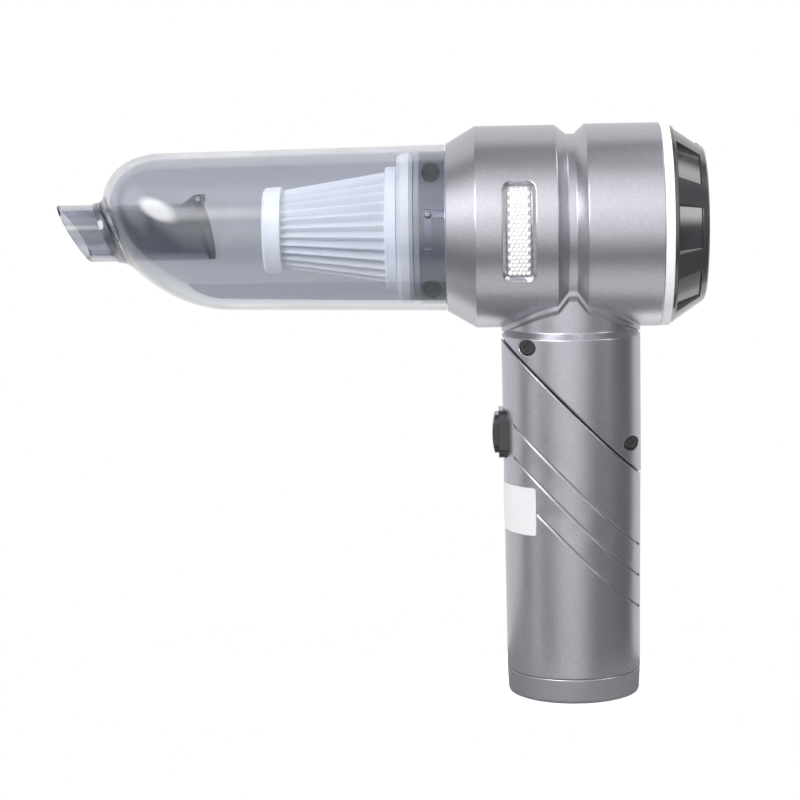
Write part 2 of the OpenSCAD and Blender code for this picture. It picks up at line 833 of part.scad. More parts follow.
// Lens of the work lamp, with a foot behind the housing's wall
module lamp_lens() {
    color("white") union() {
        intersection() {
            lamp_bar(0, axis_z, lens_w, lens_h, lens_corner);
            head_ring(drum_front_x, 0, front_drum_r - lens_recess, lens_foot_r - lens_foot_t);
        }
        intersection() {
            lamp_bar(0, axis_z, lens_w + 2 * lens_foot, lens_h + 2 * lens_foot, lens_corner);
            head_ring(drum_front_x, 0, lens_foot_r, lens_foot_r - lens_foot_t);
        }
    }
}

// Flexible board with the lamp's diodes behind the lens
module lamp_board() {
    pitch = lens_h / diode_count;
    color("green") union() {
        intersection() {
            lamp_bar(0, axis_z, lens_w, lens_h, lens_corner);
            head_ring(drum_front_x, 0, lamp_board_r, lamp_board_r - lamp_board_t);
        }
        for (i = [0 : diode_count - 1])
            let (z = (i + 0.5 - diode_count / 2) * pitch)
            translate([window_x, 0, axis_z]) rotate([-asin(z / lamp_board_r), 0, 0])
            translate([0, -lamp_board_r, 0])
            cube([lens_w * diode_share, 2 * diode_t, pitch * diode_share], center = true);
    }
}

// Hollow sleeve that the handle turns on, with a flange inside the housing
module pivot_sleeve() {
    color("gainsboro") along_fold() difference() {
        union() {
            translate([0, 0, sleeve_low_s])
                cylinder(h = deck_high_s - sleeve_low_s + slip, r = pivot_r - sleeve_step);
            translate([0, 0, deck_low_s - slip / 2])
                cylinder(h = deck_high_s - deck_low_s + slip, r = pivot_r);
            translate([0, 0, deck_high_s + snug]) cylinder(h = sleeve_flange_t, r = sleeve_flange_r);
        }
        translate([0, 0, sleeve_low_s - over]) cylinder(h = handle_r, r = sleeve_bore_r);
    }
}

// Washer that keeps the handle on the sleeve
module pivot_washer() {
    color("silver") along_fold() translate([0, 0, deck_low_s - slip / 2 - snug - washer_t]) difference() {
        cylinder(h = washer_t, r = washer_r);
        translate([0, 0, -over]) cylinder(h = washer_t + 2 * over, r = pivot_r - sleeve_step + snug);
    }
}

// Impeller with curved blades on a back plate
module impeller() {
    color("orangered") difference() {
        union() {
            head_ring(impeller_rear_x - impeller_plate_t, impeller_rear_x, impeller_r);
            head_ring(impeller_front_x, impeller_rear_x, hub_r);
            intersection() {
                along_head() translate([0, 0, impeller_front_x])
                    linear_extrude(height = blade_h + impeller_plate_t / 2) intersection() {
                        for (i = [0 : blade_count - 1]) rotate(i * 360 / blade_count)
                            translate([impeller_r / 2, blade_curve_r * 0.9]) difference() {
                                circle(r = blade_curve_r);
                                circle(r = blade_curve_r - blade_t);
                                translate([-2 * blade_curve_r, 0]) square(4 * blade_curve_r);
                                translate([-4 * blade_curve_r - impeller_r / 2, -2 * blade_curve_r])
                                    square(4 * blade_curve_r);
                            }
                        difference() {
                            circle(r = impeller_r - snug);
                            circle(r = hub_r - blade_t / 2);
                        }
                    }
                head_turned([[0, impeller_front_x], [eye_r - eye_inset, impeller_front_x],
                    [impeller_r, impeller_front_x + blade_h / 3], [impeller_r, impeller_rear_x],
                    [0, impeller_rear_x]]);
            }
        }
        head_ring(impeller_front_x - over, impeller_rear_x + over, shaft_r + snug / 2);
    }
}

// Motor shaft
module motor_shaft() {
    color("silver") head_ring(shaft_front_x, motor_rear_x + end_cap_len + shaft_stick, shaft_r);
}

// Wound core of the motor, with slots between its poles, and the commutator
module motor_rotor() {
    start = motor_front_x + can_wall + rotor_inset;
    end = motor_rear_x - rotor_rear_gap;
    slot_w = rotor_r * 0.18;
    color("peru") difference() {
        union() {
            head_ring(start, end, rotor_r);
            head_ring(end - over, motor_rear_x - commutator_end_gap, rotor_r / 2.4);
        }
        head_ring(start - over, motor_rear_x, shaft_r + snug / 2);
        for (i = [0 : rotor_slots - 1]) along_head() rotate([0, 0, i * 360 / rotor_slots])
            translate([rotor_r * 0.55, -slot_w / 2, start - over])
            cube([rotor_r, slot_w, end - start + 2 * over]);
    }
}

// Soft ring that seals the cup's skirt and turns with it
module cup_seal() {
    lip_r = cup_bore_r - (rim_x - seal_front_x) / cup_len * (cup_rim_r - cup_front_r) - slip;
    color("white") head_turned([
        [spigot_r + run, seal_front_x], [lip_r - seal_round, seal_front_x],
        [lip_r, seal_front_x + seal_round], [lip_r, seal_rear_x - seal_round],
        [lip_r - seal_round, seal_rear_x], [spigot_r + run, seal_rear_x]]);
}

// Rings of the cup's wall: [radius, place along X, lean as a share of height]
cup_sides = 64;
dome_steps = 9;
blend_steps = 4;
sleeve_t = 0.7;
blend_r = 3;
tube_hole_r = tube_r + snug;
blend_from_r = tube_hole_r + blend_r;
blend_end_r = tube_hole_r + sleeve_t;
inner_r = cup_front_r - cup_wall;
inner_len = dome_len - cup_wall;
function dome_at(r, len, base_r) = dome_x - len * sqrt(1 - r * r / (base_r * base_r));
function bezier(a, b, c, t) = (1 - t) * (1 - t) * a + 2 * t * (1 - t) * b + t * t * c;
function dome_ring(i, base_r, len, low_r) =
    let (angle = acos(low_r / base_r) * i / dome_steps)
    [base_r * cos(angle), dome_x - len * sin(angle), dome_lean_share];
blend_from_x = dome_at(blend_from_r, dome_len, cup_front_r);
blend_x = dome_at(blend_end_r, dome_len, cup_front_r);
blend_end_x = blend_x - blend_r;
cup_rings = concat(
    [[cup_rim_r, rim_x, 0]],
    [for (i = [0 : dome_steps]) dome_ring(i, cup_front_r, dome_len, blend_from_r)],
    [for (i = [1 : blend_steps]) let (t = i / blend_steps)
        [bezier(blend_from_r, blend_end_r, blend_end_r, t), bezier(blend_from_x, blend_x, blend_end_x, t),
        dome_lean_share]],
    [[tube_hole_r, blend_end_x, dome_lean_share]],
    [for (i = [dome_steps : -1 : 0]) dome_ring(i, inner_r, inner_len, tube_hole_r)],
    [[cup_bore_r, rim_x, 0]]);

// The cup's wall, as rings that lean with the dome
module cup_wall_solid() {
    rings = len(cup_rings);
    points = [for (ring = cup_rings) for (j = [0 : cup_sides - 1])
        let (angle = j * 360 / cup_sides, z = ring[0] * cos(angle))
        [ring[1] - ring[2] * z, ring[0] * sin(angle), axis_z + z]];
    faces = [for (k = [0 : rings - 1]) for (j = [0 : cup_sides - 1])
        let (a = k * cup_sides + j, b = k * cup_sides + (j + 1) % cup_sides,
            c = ((k + 1) % rings) * cup_sides + (j + 1) % cup_sides, d = ((k + 1) % rings) * cup_sides + j)
        each [[a, b, c], [a, c, d]]];
    polyhedron(points = points, faces = faces);
}

// Cutter for one bayonet slot: in from the rim, then round to the lock
module bayonet_slot(half) {
    at_lug(half) translate([cup_bore_r - over, -slot_half, lug_x - slot_half])
        cube([cup_wall + 2 * over, 2 * slot_half, rim_x - lug_x + slot_half + over]);
    at_lug(half) rotate([0, 0, -slot_half_angle]) rotate_extrude(angle = twist_angle + 2 * slot_half_angle)
        translate([cup_bore_r - over, lug_x - slot_half]) square([cup_wall + 2 * over, 2 * slot_half]);
}

// Clear cup with a leaning dome, a hole for the suction tube and two bayonet slots
module dust_cup() {
    color([0.55, 0.62, 0.68, 0.4]) difference() {
        cup_wall_solid();
        for (half = [0, 1]) bayonet_slot(half);
    }
}

// Suction tube through the dome: a raked tip outside, a shoulder in the bore and the flap's seat inside
hinge_lift = 1.4;
hinge_shift = 1;
hinge_z = tube_r + hinge_lift;
hinge_x = seat_x - hinge_z * seat_lean_share + hinge_shift;
pin_r = 0.7;
barrel_r = 1.3;
ear_in = 3;
ear_t = 1.2;
module inlet_tube() {
    reach = 2 * tube_r;
    color([0.3, 0.33, 0.38, 0.6]) union() {
        intersection() {
            difference() {
                head_ring(tip_x - 2 * reach, seat_x + 2 * reach, tube_r, tube_inner_r);
                head_ring(tip_x - 2 * reach - over, nozzle_end_x, tube_bore_r);
            }
            translate([0, 0, axis_z]) side_plate([
                [tip_x + reach * tip_rake_share, -reach], [seat_x + reach * seat_lean_share, -reach],
                [seat_x - reach * seat_lean_share, reach], [tip_x - reach * tip_rake_share, reach]], reach);
        }
        for (side = [-1, 1]) difference() {
            translate([0, side * (ear_in + ear_t / 2), axis_z]) side_plate([
                [hinge_x - 5 * ear_t, (tube_r + tube_inner_r) / 2],
                [hinge_x - 2 * ear_t, (tube_r + tube_inner_r) / 2],
                [hinge_x + 1.2 * ear_t, hinge_z - ear_t], [hinge_x + 1.2 * ear_t, hinge_z + ear_t],
                [hinge_x - ear_t, hinge_z + ear_t]], ear_t / 2);
            translate([hinge_x, 0, axis_z + hinge_z]) rotate([90, 0, 0])
                cylinder(h = 4 * ear_in, r = pin_r + snug / 2, center = true, $fn = 32);
        }
    }
}

// Pin of the flap's hinge
module flap_pin() {
    color("silver") translate([hinge_x, 0, axis_z + hinge_z]) rotate([90, 0, 0])
        cylinder(h = 2 * (ear_in + ear_t), r = pin_r, center = true, $fn = 32);
}

// Flap that closes the tube's inner end and swings into the cup
module inlet_flap() {
    near = seat_x + slip / 2;
    far = near + flap_t;
    h = tube_r + flap_t;
    color([0.15, 0.16, 0.18]) difference() {
        union() {
            intersection() {
                head_ring(near - h, far + h, tube_r - slip);
                translate([0, 0, axis_z]) side_plate([
                    [near + h * seat_lean_share, -h], [far + h * seat_lean_share, -h],
                    [far - h * seat_lean_share, h], [near - h * seat_lean_share, h]], h);
            }
            translate([0, 0, axis_z]) side_plate([
                [near - tube_inner_r * seat_lean_share, tube_inner_r],
                [far - tube_inner_r * seat_lean_share, tube_inner_r],
                [hinge_x + barrel_r * 0.6, hinge_z], [hinge_x, hinge_z]], ear_in - slip);
            translate([hinge_x, 0, axis_z + hinge_z]) rotate([90, 0, 0])
                cylinder(h = 2 * (ear_in - slip), r = barrel_r, center = true, $fn = 48);
        }
        translate([hinge_x, 0, axis_z + hinge_z]) rotate([90, 0, 0])
            cylinder(h = 4 * ear_in, r = pin_r + run, center = true, $fn = 48);
    }
}

// Closed front end of the filter
module filter_cap() {
    color("white") head_turned([
        [0, filter_front_x], [filter_cap_r - filter_cap_round, filter_front_x],
        [filter_cap_r, filter_front_x + filter_cap_round],
        [filter_cap_r + filter_cap_flare, pleat_front_x - snug], [0, pleat_front_x - snug]]);
}

// Pleated paper cone: a folded sheet with its folds along the axis
module filter_pleats() {
    n = 2 * pleat_count;
    ends = [[pleat_front_x, pleat_front_r], [flange_front_x - snug, pleat_rear_r]];
    points = [for (end = ends) for (skin = [0, pleat_sheet]) for (j = [0 : n - 1])
        let (r = end[1] - skin - (j % 2) * pleat_depth, angle = j * 360 / n)
        [end[0], r * sin(angle), axis_z + r * cos(angle)]];
    // Rings of points: front outer, front inner, rear outer, rear inner, joined in the order below
    order = [0, 2, 3, 1];
    faces = [for (k = [0 : 3]) for (j = [0 : n - 1])
        let (a = order[k] * n + j, b = order[k] * n + (j + 1) % n,
            c = order[(k + 1) % 4] * n + (j + 1) % n, d = order[(k + 1) % 4] * n + j)
        each [[a, c, b], [a, d, c]]];
    color("white") polyhedron(points = points, faces = faces);
}

// Rear flange of the filter, which plugs onto the seat
module filter_flange() {
    color("white") head_turned([
        [spigot_r + slip, flange_front_x], [filter_flange_r - flange_round, flange_front_x],
        [filter_flange_r, flange_front_x + flange_round], [filter_flange_r, flange_rear_x],
        [spigot_r + slip, flange_rear_x]]);
}

// Handle below the fold: a tapered tube with a sloping deck, a switch window and three stripes on each side
module handle_tube() {
    taper = (handle_r - handle_foot_r) / (fold_z - base_cap_h);
    top = handle_top_z + over;
    top_r = handle_foot_r + (top - base_cap_h) * taper;
    color("dimgray") difference() {
        union() {
            difference() {
                translate([0, 0, base_cap_h]) cylinder(h = top - base_cap_h, r1 = handle_foot_r, r2 = top_r);
                difference() {
                    translate([0, 0, base_cap_h - over]) cylinder(h = top, r = handle_bore_r);
                    fold_side(deck_low_s);
                }
            }
            for (side = [-1, 1]) board_rail(side);
        }
        fold_side(-fold_gap / 2);
        difference() {
            fold_side(-fold_groove_w / 2);
            cylinder(h = 2 * axis_z, r = handle_r - fold_groove_d);
        }
        along_fold() translate([0, 0, deck_low_s - over]) cylinder(h = deck_t + 2 * over, r = pivot_r + run);
        switch_bar(-handle_bore_r / 2, 2 * handle_r, bezel_w + snug, bezel_h + snug, bezel_corner);
        for (i = [0 : stripe_count - 1]) stripe(fold_z - stripe_first - i * stripe_pitch, taper);
    }
}

// Cutter for one stripe that runs round both sides of the handle, parallel to the fold
module stripe(z, taper) {
    low = handle_foot_r - base_cap_h * taper - stripe_d;
    intersection() {
        difference() {
            cylinder(h = handle_top_z, r = 2 * handle_r);
            cylinder(h = handle_top_z, r1 = low, r2 = low + handle_top_z * taper);
        }
        translate([0, 0, z]) rotate([0, tilt, 0]) cube([4 * handle_r, 4 * handle_r, stripe_w], center = true);
        translate([stripe_front_x, -2 * handle_r, 0])
            cube([stripe_rear_x - stripe_front_x, 4 * handle_r, handle_top_z]);
    }
}

// Rail inside the handle that holds one edge of the control board
module board_rail(side) {
    y0 = board_w / 2 - rail_t / 3;
    intersection() {
        cylinder(h = handle_top_z, r = handle_bore_r + over);
        difference() {
            translate([-handle_bore_r, side > 0 ? y0 : -y0 - 2 * rail_t, board_low_z])
                cube([handle_bore_r + board_x + board_t + rail_t / 2, 2 * rail_t, rail_len]);
            translate([board_x - snug, -board_w / 2 - snug, board_low_z + rail_t])
                cube([board_t + 2 * snug, board_w + 2 * snug, rail_len]);
        }
    }
}

// Base cap with a flat foot, a split spigot and the charging port
module base_cap() {
    top = base_cap_h - base_seam;
    color("dimgray") difference() {
        union() {
            rotate_extrude() polygon([
                [0, 0], [base_foot_r - foot_round, 0], [base_foot_r - foot_round * 0.3, foot_round * 0.3],
                [base_foot_r, foot_round], [handle_foot_r, top], [handle_bore_r - spigot_wall, top],
                [handle_bore_r - spigot_wall, base_floor], [0, base_floor]]);
            difference() {
                translate([0, 0, top - over]) cylinder(h = spigot_h + over, r = handle_bore_r - snug);
                translate([0, 0, top - 2 * over])
                    cylinder(h = spigot_h + 4 * over, r = handle_bore_r - spigot_wall);
                for (side = [-1, 1]) translate([0, side * (spigot_gap_y + handle_r), top])
                    cube([4 * handle_r, 2 * handle_r, 4 * spigot_h], center = true);
                translate([0, -charge_board_w / 2 - over, 0])
                    cube([2 * handle_r, charge_board_w + 2 * over, 4 * spigot_h]);
            }
        }
        for (side = [-1, 1]) translate([0, side * (cell_r + cell_gap / 2), base_floor])
            cylinder(h = axis_z, r = cell_r + snug);
        translate([socket_x, 0, -over]) linear_extrude(height = axis_z) socket_outline(port_clear);
    }
}

// Two battery cells side by side
module battery_cells() {
    color("royalblue") for (side = [-1, 1]) translate([0, side * (cell_r + cell_gap / 2), cell_z]) {
        cylinder(h = cell_len - cell_button_h, r = cell_r);
        cylinder(h = cell_len, r = cell_r / 3);
    }
}

// Cradle round the cells: floor, ceiling and two walls
module battery_cradle() {
    in_x = cell_r + cradle_gap;
    low = base_floor + snug;
    floor_z = cell_z - snug;
    top = cell_z + cell_len + snug;
    color("whitesmoke") difference() {
        translate([-in_x - cradle_t, -cradle_y, low])
            cube([2 * (in_x + cradle_t), 2 * cradle_y, top + cradle_t - low]);
        translate([-in_x, -cradle_y - over, floor_z])
            cube([2 * in_x, 2 * (cradle_y + over), top - floor_z]);
        translate([in_x - cradle_t, -cradle_y - over, top - 2 * cradle_t])
            cube([3 * cradle_t, 2 * (cradle_y + over), 4 * cradle_t]);
    }
}

// Control board behind the switch
module control_board() {
    color("green") union() {
        translate([board_x, -board_w / 2, board_low_z + rail_t + snug])
            cube([board_t, board_w, board_top_z - board_low_z - rail_t]);
        translate([board_x - chip_t, -chip_w / 2, board_low_z + 2 * rail_t])
            cube([chip_t + board_t / 2, chip_w, chip_w]);
    }
}

// Tactile switch on the board
module tact_switch() {
    color("black") union() {
        translate([board_x - switch_depth, -switch_body / 2, switch_z - switch_body / 2])
            cube([switch_depth - snug, switch_body, switch_body]);
        translate([board_x - switch_depth / 2, 0, switch_z]) rotate([0, -90, 0])
            cylinder(h = switch_depth / 2 + plunger_h, r = plunger_r, $fn = 48);
    }
}

// Charging board, standing on the base cap
module charge_board() {
    color("green")
        translate([socket_x - socket_t / 2 - charge_board_t - snug, -charge_board_w / 2, base_floor + snug])
        cube([charge_board_t, charge_board_w, charge_board_h]);
}

// Outline of the charging socket, grown by extra all round
module socket_outline(extra) {
    t = socket_t + 2 * extra;
    round_rect(t, socket_w + 2 * extra, t * socket_round_share);
}

// Charging socket: a shell with a tongue inside
module charging_socket() {
    color("silver") translate([socket_x, 0, socket_low_z]) {
        difference() {
            linear_extrude(height = socket_len) socket_outline(0);
            translate([0, 0, -over]) linear_extrude(height = socket_len - socket_back + over)
                socket_outline(-socket_wall);
        }
        translate([-tongue_t / 2, -socket_w / 3, tongue_step])
            cube([tongue_t, socket_w * 2 / 3, socket_len - tongue_step]);
    }
}

// Bright frame round the button
module switch_bezel() {
    color("silver") difference() {
        switch_bar(-handle_r + bezel_depth, bezel_depth + bezel_proud, bezel_w - snug, bezel_h - snug,
            bezel_corner);
        switch_bar(0, 2 * handle_r, button_w + slip, button_h + slip, button_corner);
    }
}

// Button with a crowned face and a flange behind the bezel
module power_button() {
    face = handle_r + button_proud;
    flange_x = -handle_r + bezel_depth + button_flange_gap;
    color("black") intersection() {
        union() {
            switch_bar(flange_x, face, button_w - slip, button_h - slip, button_corner);
            switch_bar(flange_x + button_flange_t, button_flange_t, button_w + 2 * button_skirt,
                button_h + 2 * button_skirt, button_corner);
        }
        translate([button_crown_r - face, 0, switch_z]) rotate([90, 0, 0])
            cylinder(h = 2 * bezel_w, r = button_crown_r, center = true);
    }
}

left_housing();
right_housing();
housing_screws();
filter_seat();
intake_grille();
fan_shroud();
motor_mount();
motor_screws();
motor_can();
motor_magnets();
motor_end_cap();
front_bearing();
rear_bearing();
motor_damper();
light_ring();
rear_cap();
outlet_grille();
lamp_lens();
lamp_board();
pivot_sleeve();
pivot_washer();
impeller();
motor_shaft();
motor_rotor();
cup_seal();
dust_cup();
inlet_tube();
flap_pin();
inlet_flap();
filter_cap();
filter_pleats();
filter_flange();
handle_tube();
base_cap();
battery_cells();
battery_cradle();
control_board();
tact_switch();
charge_board();
charging_socket();
switch_bezel();
power_button();
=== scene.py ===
import math
import bpy
from mathutils import Matrix, Vector


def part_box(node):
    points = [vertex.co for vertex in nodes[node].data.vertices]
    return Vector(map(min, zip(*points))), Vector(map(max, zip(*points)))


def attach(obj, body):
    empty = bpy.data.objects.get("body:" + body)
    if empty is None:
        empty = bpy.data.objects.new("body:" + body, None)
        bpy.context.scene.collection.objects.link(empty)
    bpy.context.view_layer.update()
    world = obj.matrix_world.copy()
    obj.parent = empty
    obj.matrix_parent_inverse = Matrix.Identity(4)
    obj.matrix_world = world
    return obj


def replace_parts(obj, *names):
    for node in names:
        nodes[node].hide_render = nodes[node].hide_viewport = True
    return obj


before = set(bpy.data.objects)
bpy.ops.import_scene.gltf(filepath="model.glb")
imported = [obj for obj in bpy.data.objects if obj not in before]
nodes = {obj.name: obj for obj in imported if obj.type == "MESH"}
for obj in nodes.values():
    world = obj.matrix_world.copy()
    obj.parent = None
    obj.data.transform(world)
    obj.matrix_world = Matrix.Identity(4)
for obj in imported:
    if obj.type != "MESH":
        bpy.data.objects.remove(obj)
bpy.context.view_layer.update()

mm = 0.001

# Sizes in millimetres and degrees, as in the part's source.
# The head lies along X with the cup at its low end, and the lamp side faces -Y.

# Height of the head's axis, which the drums, the cup and the filter share
axis_z = 143.7

# Dust cup and suction tube
rim_x = -37.7
cup_rim_r = 25.2
cup_front_r = 24.0
cup_wall = 1.8
dome_x = -113.7
dome_len = 26.5
dome_lean = 0.42
tube_r = 8.7

# Bayonet: the lugs' place, and the slots that take them
lug_x = -42.6
lug_angle = 12.6
slot_half = 1.1
slot_turn = 22

# Filter
pleat_front_x = -87.25
pleat_rear_x = -55.8
pleat_front_r = 12.4
pleat_rear_r = 17.4
pleat_depth = 2.6
pleat_count = 30

# Lamp lens
window_x = -15.85
lens_h = 26.6
lens_face_r = -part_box("lamp_lens")[0][1] / mm

# Handle
handle_r = 21.1
handle_foot_r = 20.5
base_cap_h = 7.7
fold_z = 88.9

# Where the paint changes along the head, and where the tube's tint darkens with painted shade inside
# the dome
collar_dark_x = -37.8
collar_light_x = -37.5
tube_bare_x = -140.5
tube_shaded_x = -139.0


def at(x, y, z):
    """A place given in millimetres, in metres."""
    return Vector((x * mm, y * mm, z * mm))


def toward(turn, lift):
    """The direction away from the part at a turn from the front and a lift, in radians."""
    level = math.cos(lift)
    return Vector((math.sin(turn) * level, -math.cos(turn) * level, math.sin(lift)))


# Materials


def scaled(colour, share):
    """A colour made darker by a share under 1, or lighter by one above."""
    return tuple(c * share for c in colour)


def maths(tree, operation, a, b=0.0):
    """A maths step on two values, each a number or a socket."""
    node = tree.nodes.new("ShaderNodeMath")
    node.operation = operation
    for end, socket in ((a, node.inputs[0]), (b, node.inputs[1])):
        if isinstance(end, (int, float)):
            socket.default_value = end
        else:
            tree.links.new(end, socket)
    return node.outputs[0]


def ranged(tree, value, to, of, shape="LINEAR"):
    """A value, mapped from the pair of limits in of to the pair in to."""
    node = tree.nodes.new("ShaderNodeMapRange")
    node.interpolation_type = shape
    node.inputs["From Min"].default_value, node.inputs["From Max"].default_value = of
    node.inputs["To Min"].default_value, node.inputs["To Max"].default_value = to
    tree.links.new(value, node.inputs["Value"])
    return node.outputs["Result"]


class Finish:
    """A material with one Principled shader, and short calls for the detail in front of it."""

    def __init__(self, name, colour, rough, metal=0.0, **sockets):
        self.material = bpy.data.materials.new(name)
        self.material.use_nodes = True
        self.tree = self.material.node_tree
        self.shader = self.tree.nodes["Principled BSDF"]
        self.shader.inputs["Base Color"].default_value = (*colour, 1)
        self.shader.inputs["Roughness"].default_value = rough
        self.shader.inputs["Metallic"].default_value = metal
        for socket, value in sockets.items():
            self.shader.inputs[socket.replace("_", " ")].default_value = value
        self.place = self.add("ShaderNodeTexCoord").outputs["Object"]

    def add(self, kind, **settings):
        node = self.tree.nodes.new(kind)
        for name, value in settings.items():
            setattr(node, name, value)
        return node

    def join(self, a, b):
        self.tree.links.new(a, b)

    def stretched(self, x, y, z):
        """Object coordinates scaled differently along each direction."""
        node = self.add("ShaderNodeMapping")
        node.inputs["Scale"].default_value = (x, y, z)
        self.join(self.place, node.inputs["Vector"])
        return node.outputs["Vector"]

    def axes(self):
        """Object coordinates as three values."""
        node = self.add("ShaderNodeSeparateXYZ")
        self.join(self.place, node.inputs["Vector"])
        return node.outputs["X"], node.outputs["Y"], node.outputs["Z"]

    def maths(self, operation, a, b=0.0):
        return maths(self.tree, operation, a, b)

    def noise(self, scale, detail, place=None):
        """Cloudy noise, with scale in clouds to the metre."""
        node = self.add("ShaderNodeTexNoise")
        node.inputs["Scale"].default_value = scale
        node.inputs["Detail"].default_value = detail
        self.join(place or self.place, node.inputs["Vector"])
        return node.outputs["Fac"]

    def cells(self, scale, output, place=None):
        """Small cells side by side, with scale in cells to the metre."""
        node = self.add("ShaderNodeTexVoronoi")
        node.inputs["Scale"].default_value = scale
        self.join(place or self.place, node.inputs["Vector"])
        return node.outputs[output]

    def spread(self, value, to, of=(0.0, 1.0)):
        """A value of this material, mapped in a straight line."""
        return ranged(self.tree, value, to, of)

    def blend_colours(self, factor, a, b):
        """A mix of two colours, each a tuple or a socket."""
        node = self.add("ShaderNodeMix", data_type="RGBA")
        self.join(factor, node.inputs["Factor"])
        colour_in = [s for s in node.inputs if s.type == "RGBA"]
        for end, socket in ((a, colour_in[0]), (b, colour_in[1])):
            if isinstance(end, tuple):
                socket.default_value = (*end, 1)
            else:
                self.join(end, socket)
        return [s for s in node.outputs if s.type == "RGBA"][0]

    def colour(self, socket):
        self.join(socket, self.shader.inputs["Base Color"])

    def rough(self, socket):
        self.join(socket, self.shader.inputs["Roughness"])

    def bump(self, height, strength, deep, edge=0.0):
        """Relief from a height, deep in millimetres, over edges rounded by a radius."""
        node = self.add("ShaderNodeBump")
        node.inputs["Strength"].default_value = strength
        node.inputs["Distance"].default_value = deep * mm
        self.join(height, node.inputs["Height"])
        if edge:
            soft = self.add("ShaderNodeBevel", samples=8)
            soft.inputs["Radius"].default_value = edge * mm
            self.join(soft.outputs["Normal"], node.inputs["Normal"])
        self.join(node.outputs["Normal"], self.shader.inputs["Normal"])

    def glow(self, tint, strength):
        """Painted glow: an emission in place of the little light that thin white material lets through
        from behind.
        """
        self.shader.inputs["Emission Color"].default_value = (*tint, 1)
        self.shader.inputs["Emission Strength"].default_value = strength

    def surface(self, socket):
        """Shows another shader in place of the Principled one alone."""
        self.join(socket, self.tree.nodes["Material Output"].inputs["Surface"])


# Tint and strength of the painted glow, in place of the light that comes through thin white parts
painted_glow_tint = (0.95, 0.97, 1.0)
paper_painted_glow = 0.09
seal_painted_glow = 0.05
lens_painted_glow = 0.1


def gunmetal_paint():
    """Satin metallic paint with fine dark and bright flakes in a slowly changing grey.

    The collar, which lies inside the cup's rim, is darker.
    """
    f = Finish("gunmetal_paint", (0.48, 0.482, 0.525), 0.3, metal=0.9,
               Coat_Weight=0.1, Coat_Roughness=0.25)
    grey, pale_grey = (0.468, 0.468, 0.512), (0.488, 0.488, 0.534)
    dark_flake, bright_flake = (0.4, 0.4, 0.44), (0.66, 0.66, 0.71)
    collar_grey = (0.2, 0.208, 0.265)
    flakes = f.add("ShaderNodeSeparateColor")
    f.join(f.cells(2600, "Color"), flakes.inputs["Color"])
    dark = f.spread(flakes.outputs["Red"], to=(0.0, 0.5))
    bright = f.spread(flakes.outputs["Green"], to=(0.0, 0.3), of=(0.8, 1.0))
    flaked = f.blend_colours(f.noise(60, 2), grey, pale_grey)
    flaked = f.blend_colours(dark, flaked, dark_flake)
    flaked = f.blend_colours(bright, flaked, bright_flake)
    x, _, _ = f.axes()
    on_collar = f.spread(x, to=(1.0, 0.0), of=(collar_dark_x * mm, collar_light_x * mm))
    f.colour(f.blend_colours(on_collar, flaked, collar_grey))
    f.rough(f.spread(f.noise(500, 2), to=(0.295, 0.325), of=(0.3, 0.7)))
    f.bump(f.noise(400, 2), strength=0.03, deep=0.03, edge=0.5)
    return f.material


def smoke_plastic(name, tint, rough, ior, streaks, shaded_end_tint=None):
    """Clear tinted plastic with a hard bright gloss and streaks along the head.

    Lamps shine through it, so that what it covers stays bright.
    The optional darker tint paints shade on the end of the tube that lies inside the dome.
    """
    lamp_gain = (1.16, 1.175, 1.185)
    streak_shade, shaded_end_streak_shade = 0.45, 0.6
    f = Finish(name, tint, rough, Transmission_Weight=1.0, IOR=ior,
               Coat_Weight=1.0, Coat_IOR=1.55, Coat_Roughness=rough)
    along = f.stretched(0.12, 1.0, 1.0)
    lines = f.spread(f.noise(160, 2, along), to=(0.0, streaks), of=(0.45, 0.7))
    shade = f.blend_colours(lines, tint, scaled(tint, streak_shade))
    if shaded_end_tint:
        x, _, _ = f.axes()
        # painted shade: the tube is darker where it lies inside the dome
        inside = f.spread(x, to=(0.0, 1.0), of=(tube_bare_x * mm, tube_shaded_x * mm))
        shaded_end = f.blend_colours(lines, shaded_end_tint, scaled(shaded_end_tint, shaded_end_streak_shade))
        shade = f.blend_colours(inside, shade, shaded_end)
    f.colour(shade)
    f.rough(f.spread(f.noise(50, 1), to=(rough, rough + 0.015), of=(0.35, 0.7)))
    f.bump(f.noise(25, 1), strength=0.05, deep=0.1)
    passing = f.add("ShaderNodeBsdfTransparent")
    passing.inputs["Color"].default_value = (*lamp_gain, 1)
    choice = f.add("ShaderNodeMixShader")
    f.join(f.add("ShaderNodeLightPath").outputs["Is Shadow Ray"], choice.inputs[0])
    f.join(f.shader.outputs[0], choice.inputs[1])
    f.join(passing.outputs[0], choice.inputs[2])
    f.surface(choice.outputs[0])
    return f.material


def moulded_plastic(name, colour, rough, grain=0.1, patchy=1.25, **sockets):
    """Moulded plastic with a fine grain and slow changes of shade.

    patchy is how many times darker the darkest patches are.
    """
    f = Finish(name, colour, rough, **sockets)
    patch = f.spread(f.noise(90, 4), to=(0.0, 1.0), of=(0.3, 0.7))
    f.colour(f.blend_colours(patch, scaled(colour, 1 / patchy), colour))
    f.rough(f.spread(f.noise(700, 3), to=(rough * 0.85, min(1.0, rough * 1.2)), of=(0.3, 0.7)))
    f.bump(f.noise(1800, 3), strength=grain, deep=0.03, edge=0.25)
    return f.material


